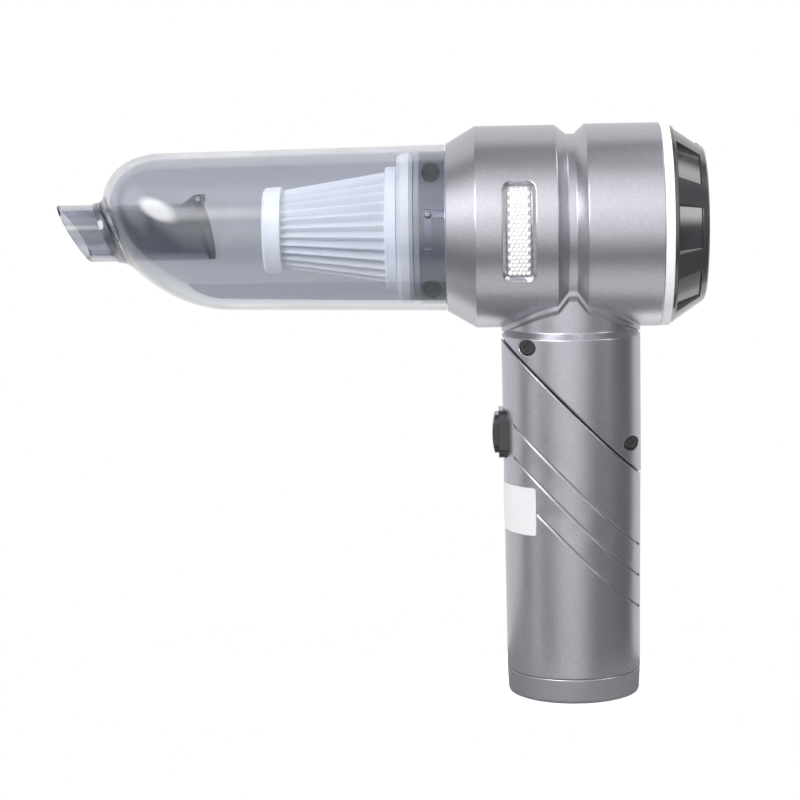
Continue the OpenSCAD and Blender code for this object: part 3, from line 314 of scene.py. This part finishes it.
def filter_paper():
    """White pressed fleece: painted shade in the valleys between the pleats, rows of pressed dots and
    a faint painted glow.
    """
    dot_pitch = 1.5 * mm
    plain_white, pressed_white = (0.78, 0.79, 0.82), (0.64, 0.655, 0.7)
    valley_painted_shade = (0.58, 0.59, 0.63)
    f = Finish("filter_fleece", (0.86, 0.87, 0.9), 0.85, Sheen_Weight=0.15)
    x, y, z = f.axes()
    up = f.maths("SUBTRACT", z, axis_z * mm)
    r = f.maths("SQRT", f.maths("ADD", f.maths("MULTIPLY", y, y), f.maths("MULTIPLY", up, up)))
    cone_r = (pleat_front_r * mm, pleat_rear_r * mm)
    ridge = f.spread(x, to=cone_r, of=(pleat_front_x * mm, pleat_rear_x * mm))
    valley = f.spread(f.maths("SUBTRACT", ridge, r), to=(0.0, 1.0), of=(0.3 * mm, pleat_depth * mm))
    row = f.maths("MULTIPLY", f.maths("ARCTAN2", up, y), 2 * pleat_count)
    step = f.maths("MULTIPLY", x, 2 * math.pi / dot_pitch)
    rising = f.maths("SINE", f.maths("ADD", step, row))
    falling = f.maths("SINE", f.maths("SUBTRACT", step, row))
    dots = f.maths("MULTIPLY", rising, falling)
    pressed = f.spread(dots, to=(0.0, 1.0), of=(0.1, 0.8))
    fleece = f.blend_colours(pressed, plain_white, pressed_white)
    # painted shade: the fleece is darker towards the valleys between the pleats
    f.colour(f.blend_colours(valley, fleece, valley_painted_shade))
    f.rough(f.spread(f.noise(1500, 4), to=(0.75, 0.95)))
    f.bump(dots, strength=0.35, deep=-0.12)
    # a faint painted glow in place of light through the fleece
    f.glow(painted_glow_tint, paper_painted_glow)
    return f.material


def frosted_plastic():
    """Milky plastic of the filter's cap and flange, with a faint painted glow."""
    light_spread = 4 * mm
    f = Finish("milky_plastic", (0.86, 0.88, 0.92), 0.35, Subsurface_Weight=0.25)
    f.shader.inputs["Subsurface Radius"].default_value = (light_spread, light_spread, light_spread)
    f.colour(f.blend_colours(f.noise(160, 3), (0.74, 0.76, 0.81), (0.82, 0.83, 0.86)))
    f.rough(f.spread(f.noise(600, 2), to=(0.3, 0.45)))
    f.bump(f.noise(900, 2), strength=0.08, deep=0.03, edge=0.3)
    # a faint painted glow in place of light through the milky plastic
    f.glow(painted_glow_tint, paper_painted_glow)
    return f.material


def metal(name, dark, light, rough, stretch=(1.0, 1.0, 12.0)):
    """Drawn metal with fine lines."""
    f = Finish(name, light, rough, metal=1.0)
    lines = f.noise(500, 3, f.stretched(*stretch))
    f.colour(f.blend_colours(lines, dark, light))
    f.rough(f.spread(lines, to=(rough * 0.75, rough * 1.3), of=(0.3, 0.7)))
    f.bump(lines, strength=0.08, deep=0.02, edge=0.15)
    return f.material


def lens_plastic():
    """Bright white lamp optic, with a faint painted glow."""
    f = Finish("lamp_optic", (0.93, 0.93, 0.94), 0.14, Transmission_Weight=0.18, IOR=1.49)
    f.colour(f.blend_colours(f.noise(500, 2), (0.88, 0.885, 0.9), (0.97, 0.97, 0.975)))
    f.rough(f.spread(f.noise(800, 2), to=(0.1, 0.22)))
    f.bump(f.noise(700, 2), strength=0.08, deep=0.03)
    # a faint painted glow on the optic
    f.glow((1.0, 1.0, 1.0), lens_painted_glow)
    return f.material


def board_mask():
    """Green solder mask with the tracks showing as a slight relief."""
    green, track_shade = (0.03, 0.16, 0.06), 1.7
    f = Finish("board_mask", green, 0.4)
    tracks = f.cells(350, "Distance", f.stretched(1.0, 1.0, 0.35))
    track = f.spread(tracks, to=(0.0, 1.0), of=(0.25, 0.3))
    f.colour(f.blend_colours(track, green, scaled(green, track_shade)))
    f.rough(f.spread(tracks, to=(0.3, 0.5)))
    f.bump(tracks, strength=0.2, deep=0.03)
    return f.material


# Outside of the head and the handle
paint = gunmetal_paint()
cap_gloss = moulded_plastic(
    "cap_gloss", (0.05, 0.05, 0.057), 0.2, grain=0.04, patchy=1.3, IOR=1.7, Coat_Weight=0.8)
ring_white = moulded_plastic("ring_white", (0.91, 0.91, 0.92), 0.28, grain=0.05, patchy=1.05)
screw_black = moulded_plastic(
    "screw_black", (0.016, 0.016, 0.018), 0.12, grain=0.04, patchy=1.3, IOR=1.5, Coat_Weight=0.2)
button_gloss = moulded_plastic(
    "button_gloss", (0.022, 0.022, 0.024), 0.25, grain=0.05, patchy=1.4, Coat_Weight=0.4)
bezel_gloss = moulded_plastic(
    "bezel_gloss", (0.03, 0.03, 0.034), 0.1, grain=0.04, patchy=1.3, Coat_Weight=0.3)
label_white = moulded_plastic("label_white", (0.66, 0.66, 0.68), 0.5, grain=0.15, patchy=1.05)
optic = lens_plastic()
optic_bed = moulded_plastic("optic_bed", (0.42, 0.42, 0.44), 0.3, grain=0.05, patchy=1.1)

# Cup and filter
cup_smoke = smoke_plastic("cup_smoke", (0.55, 0.565, 0.615), 0.015, 1.42, streaks=0.06)
# The nozzle's tint is painted darker, as shade, where the tube lies inside the dome
nozzle_smoke = smoke_plastic(
    "nozzle_smoke", (0.5, 0.52, 0.59), 0.02, 1.5, streaks=0.8, shaded_end_tint=(0.33, 0.345, 0.42))
# Painted shade for the dark band where the cup's neck meets the tube
neck_shade_dark = moulded_plastic(
    "neck_shade_dark", (0.07, 0.074, 0.09), 0.15, grain=0.05, patchy=1.4, Coat_Weight=0.5)
# The seal has a faint painted glow in place of light through it
seal_white = moulded_plastic(
    "seal_white", (0.78, 0.8, 0.83), 0.55, grain=0.12, patchy=1.08,
    Emission_Color=(*painted_glow_tint, 1), Emission_Strength=seal_painted_glow)
flap_rubber = moulded_plastic("flap_rubber", (0.035, 0.037, 0.05), 0.6, grain=0.2)
grey_matt = moulded_plastic("grey_matt", (0.4, 0.41, 0.44), 0.5)
paper_white = filter_paper()
milky = frosted_plastic()

# Inside of the head and the handle, with the outlet's grille
black_matt = moulded_plastic("black_matt", (0.03, 0.03, 0.033), 0.55, grain=0.25)
inner_white = moulded_plastic("inner_white", (0.78, 0.78, 0.78), 0.45, patchy=1.1)
sleeve_white = moulded_plastic("sleeve_white", (0.7, 0.7, 0.68), 0.4)
fan_plastic = moulded_plastic("fan_plastic", (0.05, 0.05, 0.055), 0.35)
damper_rubber = moulded_plastic("damper_rubber", (0.025, 0.025, 0.026), 0.7, grain=0.3)
cell_wrap = moulded_plastic(
    "cell_wrap", (0.08, 0.2, 0.5), 0.3, grain=0.05, patchy=1.2, Coat_Weight=0.3)
board = board_mask()
steel = metal("steel", (0.42, 0.42, 0.43), (0.66, 0.66, 0.67), 0.3)
magnet_grey = metal("magnet_grey", (0.1, 0.1, 0.1), (0.2, 0.2, 0.2), 0.55)
copper = metal("copper", (0.5, 0.22, 0.1), (0.75, 0.38, 0.2), 0.35, stretch=(1.0, 14.0, 1.0))
bronze = metal("bronze", (0.45, 0.3, 0.13), (0.7, 0.5, 0.25), 0.4)

finishes = {
    paint: ("left_housing", "right_housing", "handle_tube", "base_cap"),
    cap_gloss: ("rear_cap",),
    button_gloss: ("power_button",),
    black_matt: ("outlet_grille", "tact_switch"),
    flap_rubber: ("inlet_flap",),
    grey_matt: ("filter_seat", "intake_grille"),
    ring_white: ("light_ring",),
    inner_white: ("fan_shroud", "motor_mount", "motor_end_cap", "battery_cradle"),
    sleeve_white: ("pivot_sleeve",),
    seal_white: ("cup_seal",),
    damper_rubber: ("motor_damper",),
    fan_plastic: ("impeller",),
    paper_white: ("filter_pleats",),
    milky: ("filter_cap", "filter_flange"),
    steel: ("motor_screws", "motor_can", "motor_shaft", "pivot_washer", "flap_pin", "charging_socket"),
    screw_black: ("housing_screws",),
    magnet_grey: ("motor_magnets",),
    copper: ("motor_rotor",),
    bronze: ("front_bearing", "rear_bearing"),
    bezel_gloss: ("switch_bezel",),
    cell_wrap: ("battery_cells",),
    board: ("lamp_board", "control_board", "charge_board"),
    optic_bed: ("lamp_lens",),
    cup_smoke: ("dust_cup",),
    nozzle_smoke: ("inlet_tube",),
}
for finish, names in finishes.items():
    for name in names:
        nodes[name].data.materials.clear()
        nodes[name].data.materials.append(finish)


# Modelling helpers


def deselect():
    """Closes any edit and deselects everything."""
    if bpy.context.object and bpy.context.object.mode == "EDIT":
        bpy.ops.object.mode_set(mode="OBJECT")
    bpy.ops.object.select_all(action="DESELECT")


def begin(name):
    """The primitive just added becomes a named piece with its place in its mesh, open for editing."""
    piece = bpy.context.object
    piece.name = name
    bpy.ops.object.transform_apply(location=True, rotation=True, scale=True)
    bpy.ops.object.mode_set(mode="EDIT")
    bpy.ops.mesh.select_all(action="SELECT")
    return piece


def face_outward():
    """Turns all faces of the piece in edit mode outward and closes the edit."""
    bpy.ops.mesh.select_all(action="SELECT")
    bpy.ops.mesh.normals_make_consistent(inside=False)
    bpy.ops.object.mode_set(mode="OBJECT")


def pick(piece, test):
    """Selects the vertices of a piece in edit mode that pass a test on their place."""
    bpy.ops.mesh.select_mode(type="VERT")
    bpy.ops.mesh.select_all(action="DESELECT")
    bpy.ops.object.mode_set(mode="OBJECT")
    for vertex in piece.data.vertices:
        vertex.select = test(vertex.co / mm)
    bpy.ops.object.mode_set(mode="EDIT")


def apply(piece, kind, **settings):
    """Adds a modifier with its settings and applies it."""
    modifier = piece.modifiers.new(kind.lower(), kind)
    for name, value in settings.items():
        setattr(modifier, name, value)
    bpy.ops.object.modifier_apply(modifier=modifier.name)


def done(piece, body, finish, angle):
    """Smooths edges below the angle and hands the piece its finish and body."""
    bpy.ops.object.select_all(action="DESELECT")
    piece.select_set(True)
    bpy.context.view_layer.objects.active = piece
    bpy.ops.object.shade_smooth_by_angle(angle=math.radians(angle))
    piece.data.materials.clear()
    piece.data.materials.append(finish)
    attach(piece, body)
    return piece


def ring_start(name, x, r, sides):
    """A circle across the head's axis, ready to be extruded ring by ring."""
    deselect()
    bpy.ops.mesh.primitive_circle_add(
        vertices=sides, radius=r * mm, location=at(x, 0, axis_z), rotation=(0, math.pi / 2, 0)
    )
    return begin(name)


def next_ring(step, x, ratio):
    """Extrudes the selected ring along the head's axis to x and scales it about the axis."""
    bpy.ops.mesh.extrude_region_move(TRANSFORM_OT_translate={"value": (step * mm, 0, 0)})
    bpy.ops.transform.resize(value=(ratio, ratio, ratio), center_override=at(x, 0, axis_z))


def lean_ring(x, way):
    """Leans an upright ring with the dome, way 1, or stands it up again, way -1."""
    centre = at(x, 0, axis_z)
    if way < 0:
        bpy.ops.transform.rotate(value=-lean, orient_axis="Y", center_override=centre)
    bpy.ops.transform.resize(value=(1, 1, math.cos(lean) ** -way), center_override=centre)
    if way > 0:
        bpy.ops.transform.rotate(value=lean, orient_axis="Y", center_override=centre)


# Bayonet slots in the dust cup's skirt: in from the rim, then round to the lock

slot_past_wall = 0.8
slot_past_rim = 1.0
slot_spare = 0.1
slot_in_r = cup_rim_r - cup_wall - slot_past_wall
slot_out_r = cup_rim_r + slot_past_wall
slot_mid_r = (slot_in_r + slot_out_r) / 2


def slot_entry(half):
    """Cutter along the head, from the middle of a lug out past the rim.

    half is 0 for the lug on the lamp side and 180 for the one across from it.
    """
    turn = math.radians(90 - lug_angle + half)
    long = rim_x + slot_past_rim - lug_x
    place = at(lug_x + long / 2, -slot_mid_r * math.sin(turn), axis_z + slot_mid_r * math.cos(turn))
    deselect()
    bpy.ops.mesh.primitive_cube_add(size=1, location=place, rotation=(turn, 0, 0))
    piece = bpy.context.object
    piece.scale = at(long, 2 * slot_half, slot_out_r - slot_in_r)
    begin("slot_entry")
    bpy.ops.object.mode_set(mode="OBJECT")
    return piece


def slot_arc(half):
    """Cutter round the head, from a lug to the lock."""
    steps = 24
    spare = math.asin((slot_half + slot_spare) / slot_in_r)
    turn = math.radians(90 - lug_angle + half) - spare
    place = at(lug_x, -slot_mid_r * math.sin(turn), axis_z + slot_mid_r * math.cos(turn))
    deselect()
    bpy.ops.mesh.primitive_plane_add(size=1, location=place, rotation=(turn + math.pi / 2, 0, 0))
    piece = bpy.context.object
    piece.scale = at(2 * slot_half, slot_out_r - slot_in_r, 1)
    begin("slot_arc")
    swept = math.radians(slot_turn) + 2 * spare
    bpy.ops.mesh.spin(steps=steps, angle=swept, center=at(0, 0, axis_z), axis=(-1, 0, 0))
    face_outward()
    return piece


# Dust cup: a drafted skirt, a leaning dome and a fillet up onto the suction tube

neck_r = tube_r + 0.5
neck_hole_r = tube_r + 0.15
neck_fillet_r = 3.0
neck_x = dome_x - dome_len * math.sqrt(1 - (neck_r / cup_front_r) ** 2) - neck_fillet_r
lean = math.atan(dome_lean)


def dome_profile(r, length, end_r):
    """Places and radii of an elliptical dome, from its foot to end_r."""
    steps = 14
    last = math.acos(end_r / r)
    turns = [last * i / steps for i in range(steps + 1)]
    return [(dome_x - length * math.sin(turn), r * math.cos(turn)) for turn in turns]


def neck_fillet(start_x, start_r):
    """Places and radii of the curve from the end of the dome down to the neck."""
    steps = 6
    slope_x = neck_x + neck_fillet_r
    fillet = []
    for i in range(1, steps + 1):
        t = i / steps
        x = (1 - t) ** 2 * start_x + 2 * t * (1 - t) * slope_x + t * t * neck_x
        r = (1 - t) ** 2 * start_r + (1 - (1 - t) ** 2) * neck_r
        fillet.append((x, r))
    return fillet


def cup_profile():
    """Places and radii of the cup's wall: outside to the neck, then back inside."""
    outside = dome_profile(cup_front_r, dome_len, neck_r + neck_fillet_r)
    inside = dome_profile(cup_front_r - cup_wall, dome_len - cup_wall, neck_hole_r)
    return outside + neck_fillet(*outside[-1]) + [(neck_x, neck_hole_r)] + inside[::-1]


def dust_cup():
    """The cup's wall, drawn ring by ring out along the skirt and back inside, with its slots."""
    sides = 128
    weld = 0.005
    inner_rim_r = cup_rim_r - cup_wall
    piece = ring_start("cup_shell", rim_x, cup_rim_r, sides)
    last_x, last_r = rim_x, cup_rim_r
    for i, (x, r) in enumerate(cup_profile()):
        next_ring(x - last_x, x, r / last_r)
        if i == 0:  # the dome's foot, where the lean begins
            lean_ring(x, 1)
        last_x, last_r = x, r
    next_ring(rim_x - last_x, rim_x, inner_rim_r / last_r)
    lean_ring(rim_x, -1)
    next_ring(0, rim_x, cup_rim_r / inner_rim_r)
    bpy.ops.mesh.select_all(action="SELECT")
    bpy.ops.mesh.remove_doubles(threshold=weld * mm)
    face_outward()
    for half in (0, 180):
        for cutter in (slot_entry(half), slot_arc(half)):
            bpy.context.view_layer.objects.active = piece
            apply(piece, "BOOLEAN", operation="DIFFERENCE", object=cutter, solver="EXACT")
            bpy.data.objects.remove(cutter)
    return piece


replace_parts(done(dust_cup(), "cup", cup_smoke, 30), "dust_cup")


# Filter: pleats with rounded folds


def pleats():
    """A cone of paper whose every second fold is drawn in, then rounded and made thick."""
    fold_round = 0.55
    paper_thick = 0.5
    fold_turn = math.pi / pleat_count
    middle = (pleat_front_x + pleat_rear_x) / 2
    piece = ring_start("pleated_cone", pleat_front_x, pleat_front_r, 2 * pleat_count)
    next_ring(pleat_rear_x - pleat_front_x, pleat_rear_x, pleat_rear_r / pleat_front_r)

    def in_valley(place):
        fold = math.atan2(place.z - axis_z, place.y) / fold_turn
        return round(fold) % 2 == 0

    ends = ((True, pleat_front_x, pleat_front_r), (False, pleat_rear_x, pleat_rear_r))
    for front, x, r in ends:
        pick(piece, lambda place: (place.x < middle) == front and in_valley(place))
        ratio = (r - pleat_depth) / r
        bpy.ops.transform.resize(value=(1, ratio, ratio), center_override=at(x, 0, axis_z))
    bpy.ops.mesh.select_mode(type="EDGE")
    bpy.ops.mesh.select_all(action="DESELECT")
    bpy.ops.object.mode_set(mode="OBJECT")
    points = piece.data.vertices
    for edge in piece.data.edges:
        a, b = (points[i].co.x / mm for i in edge.vertices)
        edge.select = (a < middle) != (b < middle)
    bpy.ops.object.mode_set(mode="EDIT")
    bpy.ops.mesh.bevel(offset=fold_round * mm, segments=3, affect="EDGES")
    face_outward()
    apply(piece, "SOLIDIFY", thickness=paper_thick * mm, offset=-1)
    return piece


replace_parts(done(pleats(), "filter", paper_white, 60), "filter_pleats")


# Lamp lens: rows of small domes on the lens


def lens_beads():
    """Half beads on the lens's face in rows of five and four, wrapped round the head.

    Their radius is a little over half the pitch, so that neighbours meet.
    """
    pitch = 1.34
    bead_r = 0.55 * pitch
    flatness = 0.7
    widest_row = 5
    edge_room = 0.6
    row_step = pitch * math.sqrt(3) / 2
    rows = int((lens_h - edge_room) / row_step)
    deselect()
    bpy.ops.mesh.primitive_uv_sphere_add(
        segments=10, ring_count=6, radius=bead_r * mm, location=(0, 0, 0)
    )
    bead = begin("lens_beads")
    bpy.ops.mesh.bisect(plane_co=(0, 0, 0), plane_no=(0, 1, 0), clear_outer=True)
    bpy.ops.transform.resize(value=(1, flatness, 1), center_override=(0, 0, 0))
    bpy.ops.object.mode_set(mode="OBJECT")
    copies = []
    for row in range(rows):
        z = (row - (rows - 1) / 2) * row_step
        turn = math.asin(z / lens_face_r)
        count = widest_row if row % 2 == 0 else widest_row - 1
        for column in range(count):
            x = window_x + (column - (count - 1) / 2) * pitch
            place = at(x, -lens_face_r * math.cos(turn), axis_z + z)
            copy = bead.copy()
            copy.data = bead.data.copy()
            copy.data.transform(Matrix.Translation(place) @ Matrix.Rotation(-turn, 4, "X"))
            bpy.context.scene.collection.objects.link(copy)
            copies.append(copy)
    deselect()
    bpy.data.objects.remove(bead)
    for copy in copies:
        copy.select_set(True)
    bpy.context.view_layer.objects.active = copies[0]
    bpy.ops.object.join()
    copies[0].name = "lens_beads"
    return copies[0]


done(lens_beads(), "head", optic, 60)


# Blank plate on the handle, where such a tool has its label


def blank_plate():
    """A thin plate with round corners, cut into narrow strips and wrapped round the handle."""
    low, high = 51.3, 65.9
    half_turn = math.radians(56.5)
    corner_r = 0.9
    thick = 0.12
    clear = 0.02
    strips = 40
    middle = (low + high) / 2
    taper = (handle_r - handle_foot_r) / (fold_z - base_cap_h)

    def handle_face(z):
        return handle_foot_r + (z - base_cap_h) * taper + clear

    r = handle_face(middle) * mm
    deselect()
    bpy.ops.mesh.primitive_plane_add(size=1, location=at(0, 0, middle), rotation=(math.pi / 2, 0, 0))
    piece = bpy.context.object
    piece.scale = (2 * half_turn * r, (high - low) * mm, 1)
    begin("blank_plate")
    bpy.ops.mesh.bevel(offset=corner_r * mm, segments=5, affect="VERTICES")
    for i in range(1, strips):
        bpy.ops.mesh.select_all(action="SELECT")
        x = half_turn * r * (2 * i / strips - 1)
        bpy.ops.mesh.bisect(plane_co=(x, 0, 0), plane_no=(1, 0, 0))
    bpy.ops.object.mode_set(mode="OBJECT")
    for vertex in piece.data.vertices:
        turn = vertex.co.x / r
        z = vertex.co.z / mm
        face_r = handle_face(z)
        vertex.co = at(-face_r * math.cos(turn), -face_r * math.sin(turn), z)
    bpy.ops.object.mode_set(mode="EDIT")
    face_outward()
    faces = piece.data.polygons
    outward = sum(face.normal.dot(Vector((face.center.x, face.center.y, 0))) for face in faces)
    if outward < 0:
        piece.data.flip_normals()
    apply(piece, "SOLIDIFY", thickness=thick * mm, offset=1)
    return piece


done(blank_plate(), "handle", label_white, 40)


# Painted shade at the joint between the cup's neck and the suction tube


def neck_shade_band():
    """A thin leaning dark band round the tube, just inside the cup's neck, that paints the shade where
    the neck's wall meets the tube.
    """
    sides = 96
    wide = 2.3
    thick = 0.06
    seam_r = tube_r + 0.05
    front_x = neck_x + 0.1
    piece = ring_start("neck_shade_band", front_x, seam_r, sides)
    lean_ring(front_x, 1)
    next_ring(wide, front_x + wide, 1)
    face_outward()
    apply(piece, "SOLIDIFY", thickness=thick * mm, offset=0)
    return piece


done(neck_shade_band(), "cup", neck_shade_dark, 60)


# Floor, light and camera

floor_x = -50
floor_wide = 120
floor_deep = 50
floor_lift = 0.55


def white_floor():
    """A floor that shows as white, also through the cup, keeps the shadow and is dim in gloss."""
    in_gloss = (0.25, 0.25, 0.25)
    f = Finish("floor_white", (0.8, 0.8, 0.8), 0.9)
    ray = f.add("ShaderNodeLightPath").outputs
    pale = f.blend_colours(f.noise(3, 2), (0.79, 0.79, 0.79), (0.81, 0.81, 0.81))
    f.colour(f.blend_colours(ray["Is Glossy Ray"], pale, in_gloss))
    seen = f.maths("MAXIMUM", ray["Is Camera Ray"], ray["Is Transmission Ray"])
    glow = f.add("ShaderNodeEmission")
    f.join(f.maths("MULTIPLY", seen, floor_lift), glow.inputs["Strength"])
    total = f.add("ShaderNodeAddShader")
    f.join(f.shader.outputs[0], total.inputs[0])
    f.join(glow.outputs[0], total.inputs[1])
    f.surface(total.outputs[0])
    return f.material


deselect()
bpy.ops.mesh.primitive_circle_add(
    vertices=128, radius=1, fill_type="NGON", location=at(floor_x, 0, 0)
)
floor = bpy.context.object
floor.scale = (floor_wide * mm, floor_deep * mm, 1)
begin("floor")
bpy.ops.object.mode_set(mode="OBJECT")
floor.data.materials.append(white_floor())

# The light: a dim room with a pale wall behind and pale light from below, and five softboxes.
# The camera sees white, and clear plastic shows it brighter above the horizon.
room_level = 0.13
back_level = 0.88
below_level = 0.8
through_lift = 0.38
# How far the wall stands back above and on the right
wall_top_share = 0.23
wall_right_share = 0.45
# The soft edges: of the wall along the way back, and of the other two along the way up
wall_edge = (0.0, 0.2)
below_edge = (-0.85, -0.55)
horizon = (-0.08, 0.02)

world = bpy.data.worlds.new("studio")
bpy.context.scene.world = world
world.use_nodes = True
sky = world.node_tree
direction = sky.nodes.new("ShaderNodeTexCoord").outputs["Generated"]
axes = sky.nodes.new("ShaderNodeSeparateXYZ")
sky.links.new(direction, axes.inputs["Vector"])
rightward, backward, upward = (axes.outputs[side] for side in "XYZ")


def eased(value, of, to):
    """A value of the sky, mapped with soft ends from one pair of limits to another."""
    return ranged(sky, value, to, of, "SMOOTHSTEP")


def softbox(light, turn, lift, wide, deep, tall, fade, strength):
    """The light with a soft oval lamp added.

    turn from the front and lift are in degrees; wide, deep and tall are the oval's half sizes,
    with the lamp at distance 1; fade is the share of them that its soft edge takes.
    """
    turn, lift = math.radians(turn), math.radians(lift)
    box = sky.nodes.new("ShaderNodeMapping")
    box.vector_type = "TEXTURE"
    box.inputs["Location"].default_value = toward(turn, lift)
    box.inputs["Rotation"].default_value = (0, 0, turn)
    box.inputs["Scale"].default_value = (wide, deep, tall)
    ball = sky.nodes.new("ShaderNodeTexGradient")
    ball.gradient_type = "SPHERICAL"
    sky.links.new(direction, box.inputs["Vector"])
    sky.links.new(box.outputs["Vector"], ball.inputs["Vector"])
    return maths(sky, "ADD", light, eased(ball.outputs["Fac"], of=(0.0, fade), to=(0.0, strength)))


behind = backward
for side, share in ((upward, wall_top_share), (rightward, wall_right_share)):
    past = maths(sky, "MULTIPLY", maths(sky, "MAXIMUM", side, 0.0), share)
    behind = maths(sky, "SUBTRACT", behind, past)
light = eased(behind, of=wall_edge, to=(room_level, back_level))
light = maths(sky, "ADD", light, eased(upward, of=below_edge, to=(below_level, 0.0)))

# The large lamp in front, then its small neighbour on the left
light = softbox(light, turn=-3, lift=25, wide=0.88, deep=1.0, tall=0.97, fade=0.55, strength=1.08)
light = softbox(light, turn=-67, lift=20, wide=0.42, deep=0.6, tall=0.75, fade=0.6, strength=1.15)
# A small strong lamp for the short glints on the dome, the drums and the handle
light = softbox(light, turn=-34, lift=25, wide=0.46, deep=0.6, tall=0.34, fade=0.55, strength=8.0)
# Two lamps on the right, one low and one high, for the rear cap and the handle's right side
light = softbox(light, turn=60, lift=18, wide=0.22, deep=0.5, tall=0.35, fade=0.6, strength=4.5)
light = softbox(light, turn=85, lift=55, wide=0.4, deep=0.6, tall=0.4, fade=0.6, strength=3.0)

ray = sky.nodes.new("ShaderNodeLightPath").outputs
sees_white = maths(sky, "MAXIMUM", ray["Is Camera Ray"], ray["Is Transmission Ray"])
through = eased(upward, of=horizon, to=(0.0, through_lift))
through = maths(sky, "MULTIPLY", through, ray["Is Transmission Ray"])
choose = sky.nodes.new("ShaderNodeMix")
sky.links.new(sees_white, choose.inputs["Factor"])
sky.links.new(light, choose.inputs["A"])
sky.links.new(maths(sky, "ADD", 1.0, through), choose.inputs["B"])
backdrop = sky.nodes["Background"]
backdrop.inputs["Color"].default_value = (1, 1, 1, 1)
sky.links.new(choose.outputs["Result"], backdrop.inputs["Strength"])

# Camera at the photograph's angle: fitted to the outlines of the drums, the cup and the handle.
# Angles in radians, distances in millimetres from the point that it was fitted about.
cam_turn = 0.03599
cam_lift = 0.12928
cam_roll = -0.01834
cam_distance = 701.05
cam_side = 51.99
cam_up = 29.41
cam_about = Vector((0, 0, 120))
focal_pixels = 2300
picture_pixels = 800
sensor_wide = 36
backwards = toward(cam_turn, cam_lift)
flat_right = Vector((math.cos(cam_turn), math.sin(cam_turn), 0))
flat_up = backwards.cross(flat_right)
right = math.cos(cam_roll) * flat_right + math.sin(cam_roll) * flat_up
up = -math.sin(cam_roll) * flat_right + math.cos(cam_roll) * flat_up
eye = cam_about + backwards * cam_distance - right * cam_side - up * cam_up
camera_data = bpy.data.cameras.new("camera")
camera_data.sensor_width = sensor_wide
camera_data.lens = focal_pixels / picture_pixels * sensor_wide
camera_data.clip_start = 10 * mm
camera = bpy.data.objects.new("camera", camera_data)
bpy.context.scene.collection.objects.link(camera)
facing = Matrix((right, up, backwards)).transposed().to_4x4()
camera.matrix_world = Matrix.Translation(eye * mm) @ facing
bpy.context.scene.camera = camera
bpy.context.scene.view_settings.view_transform = "Standard"
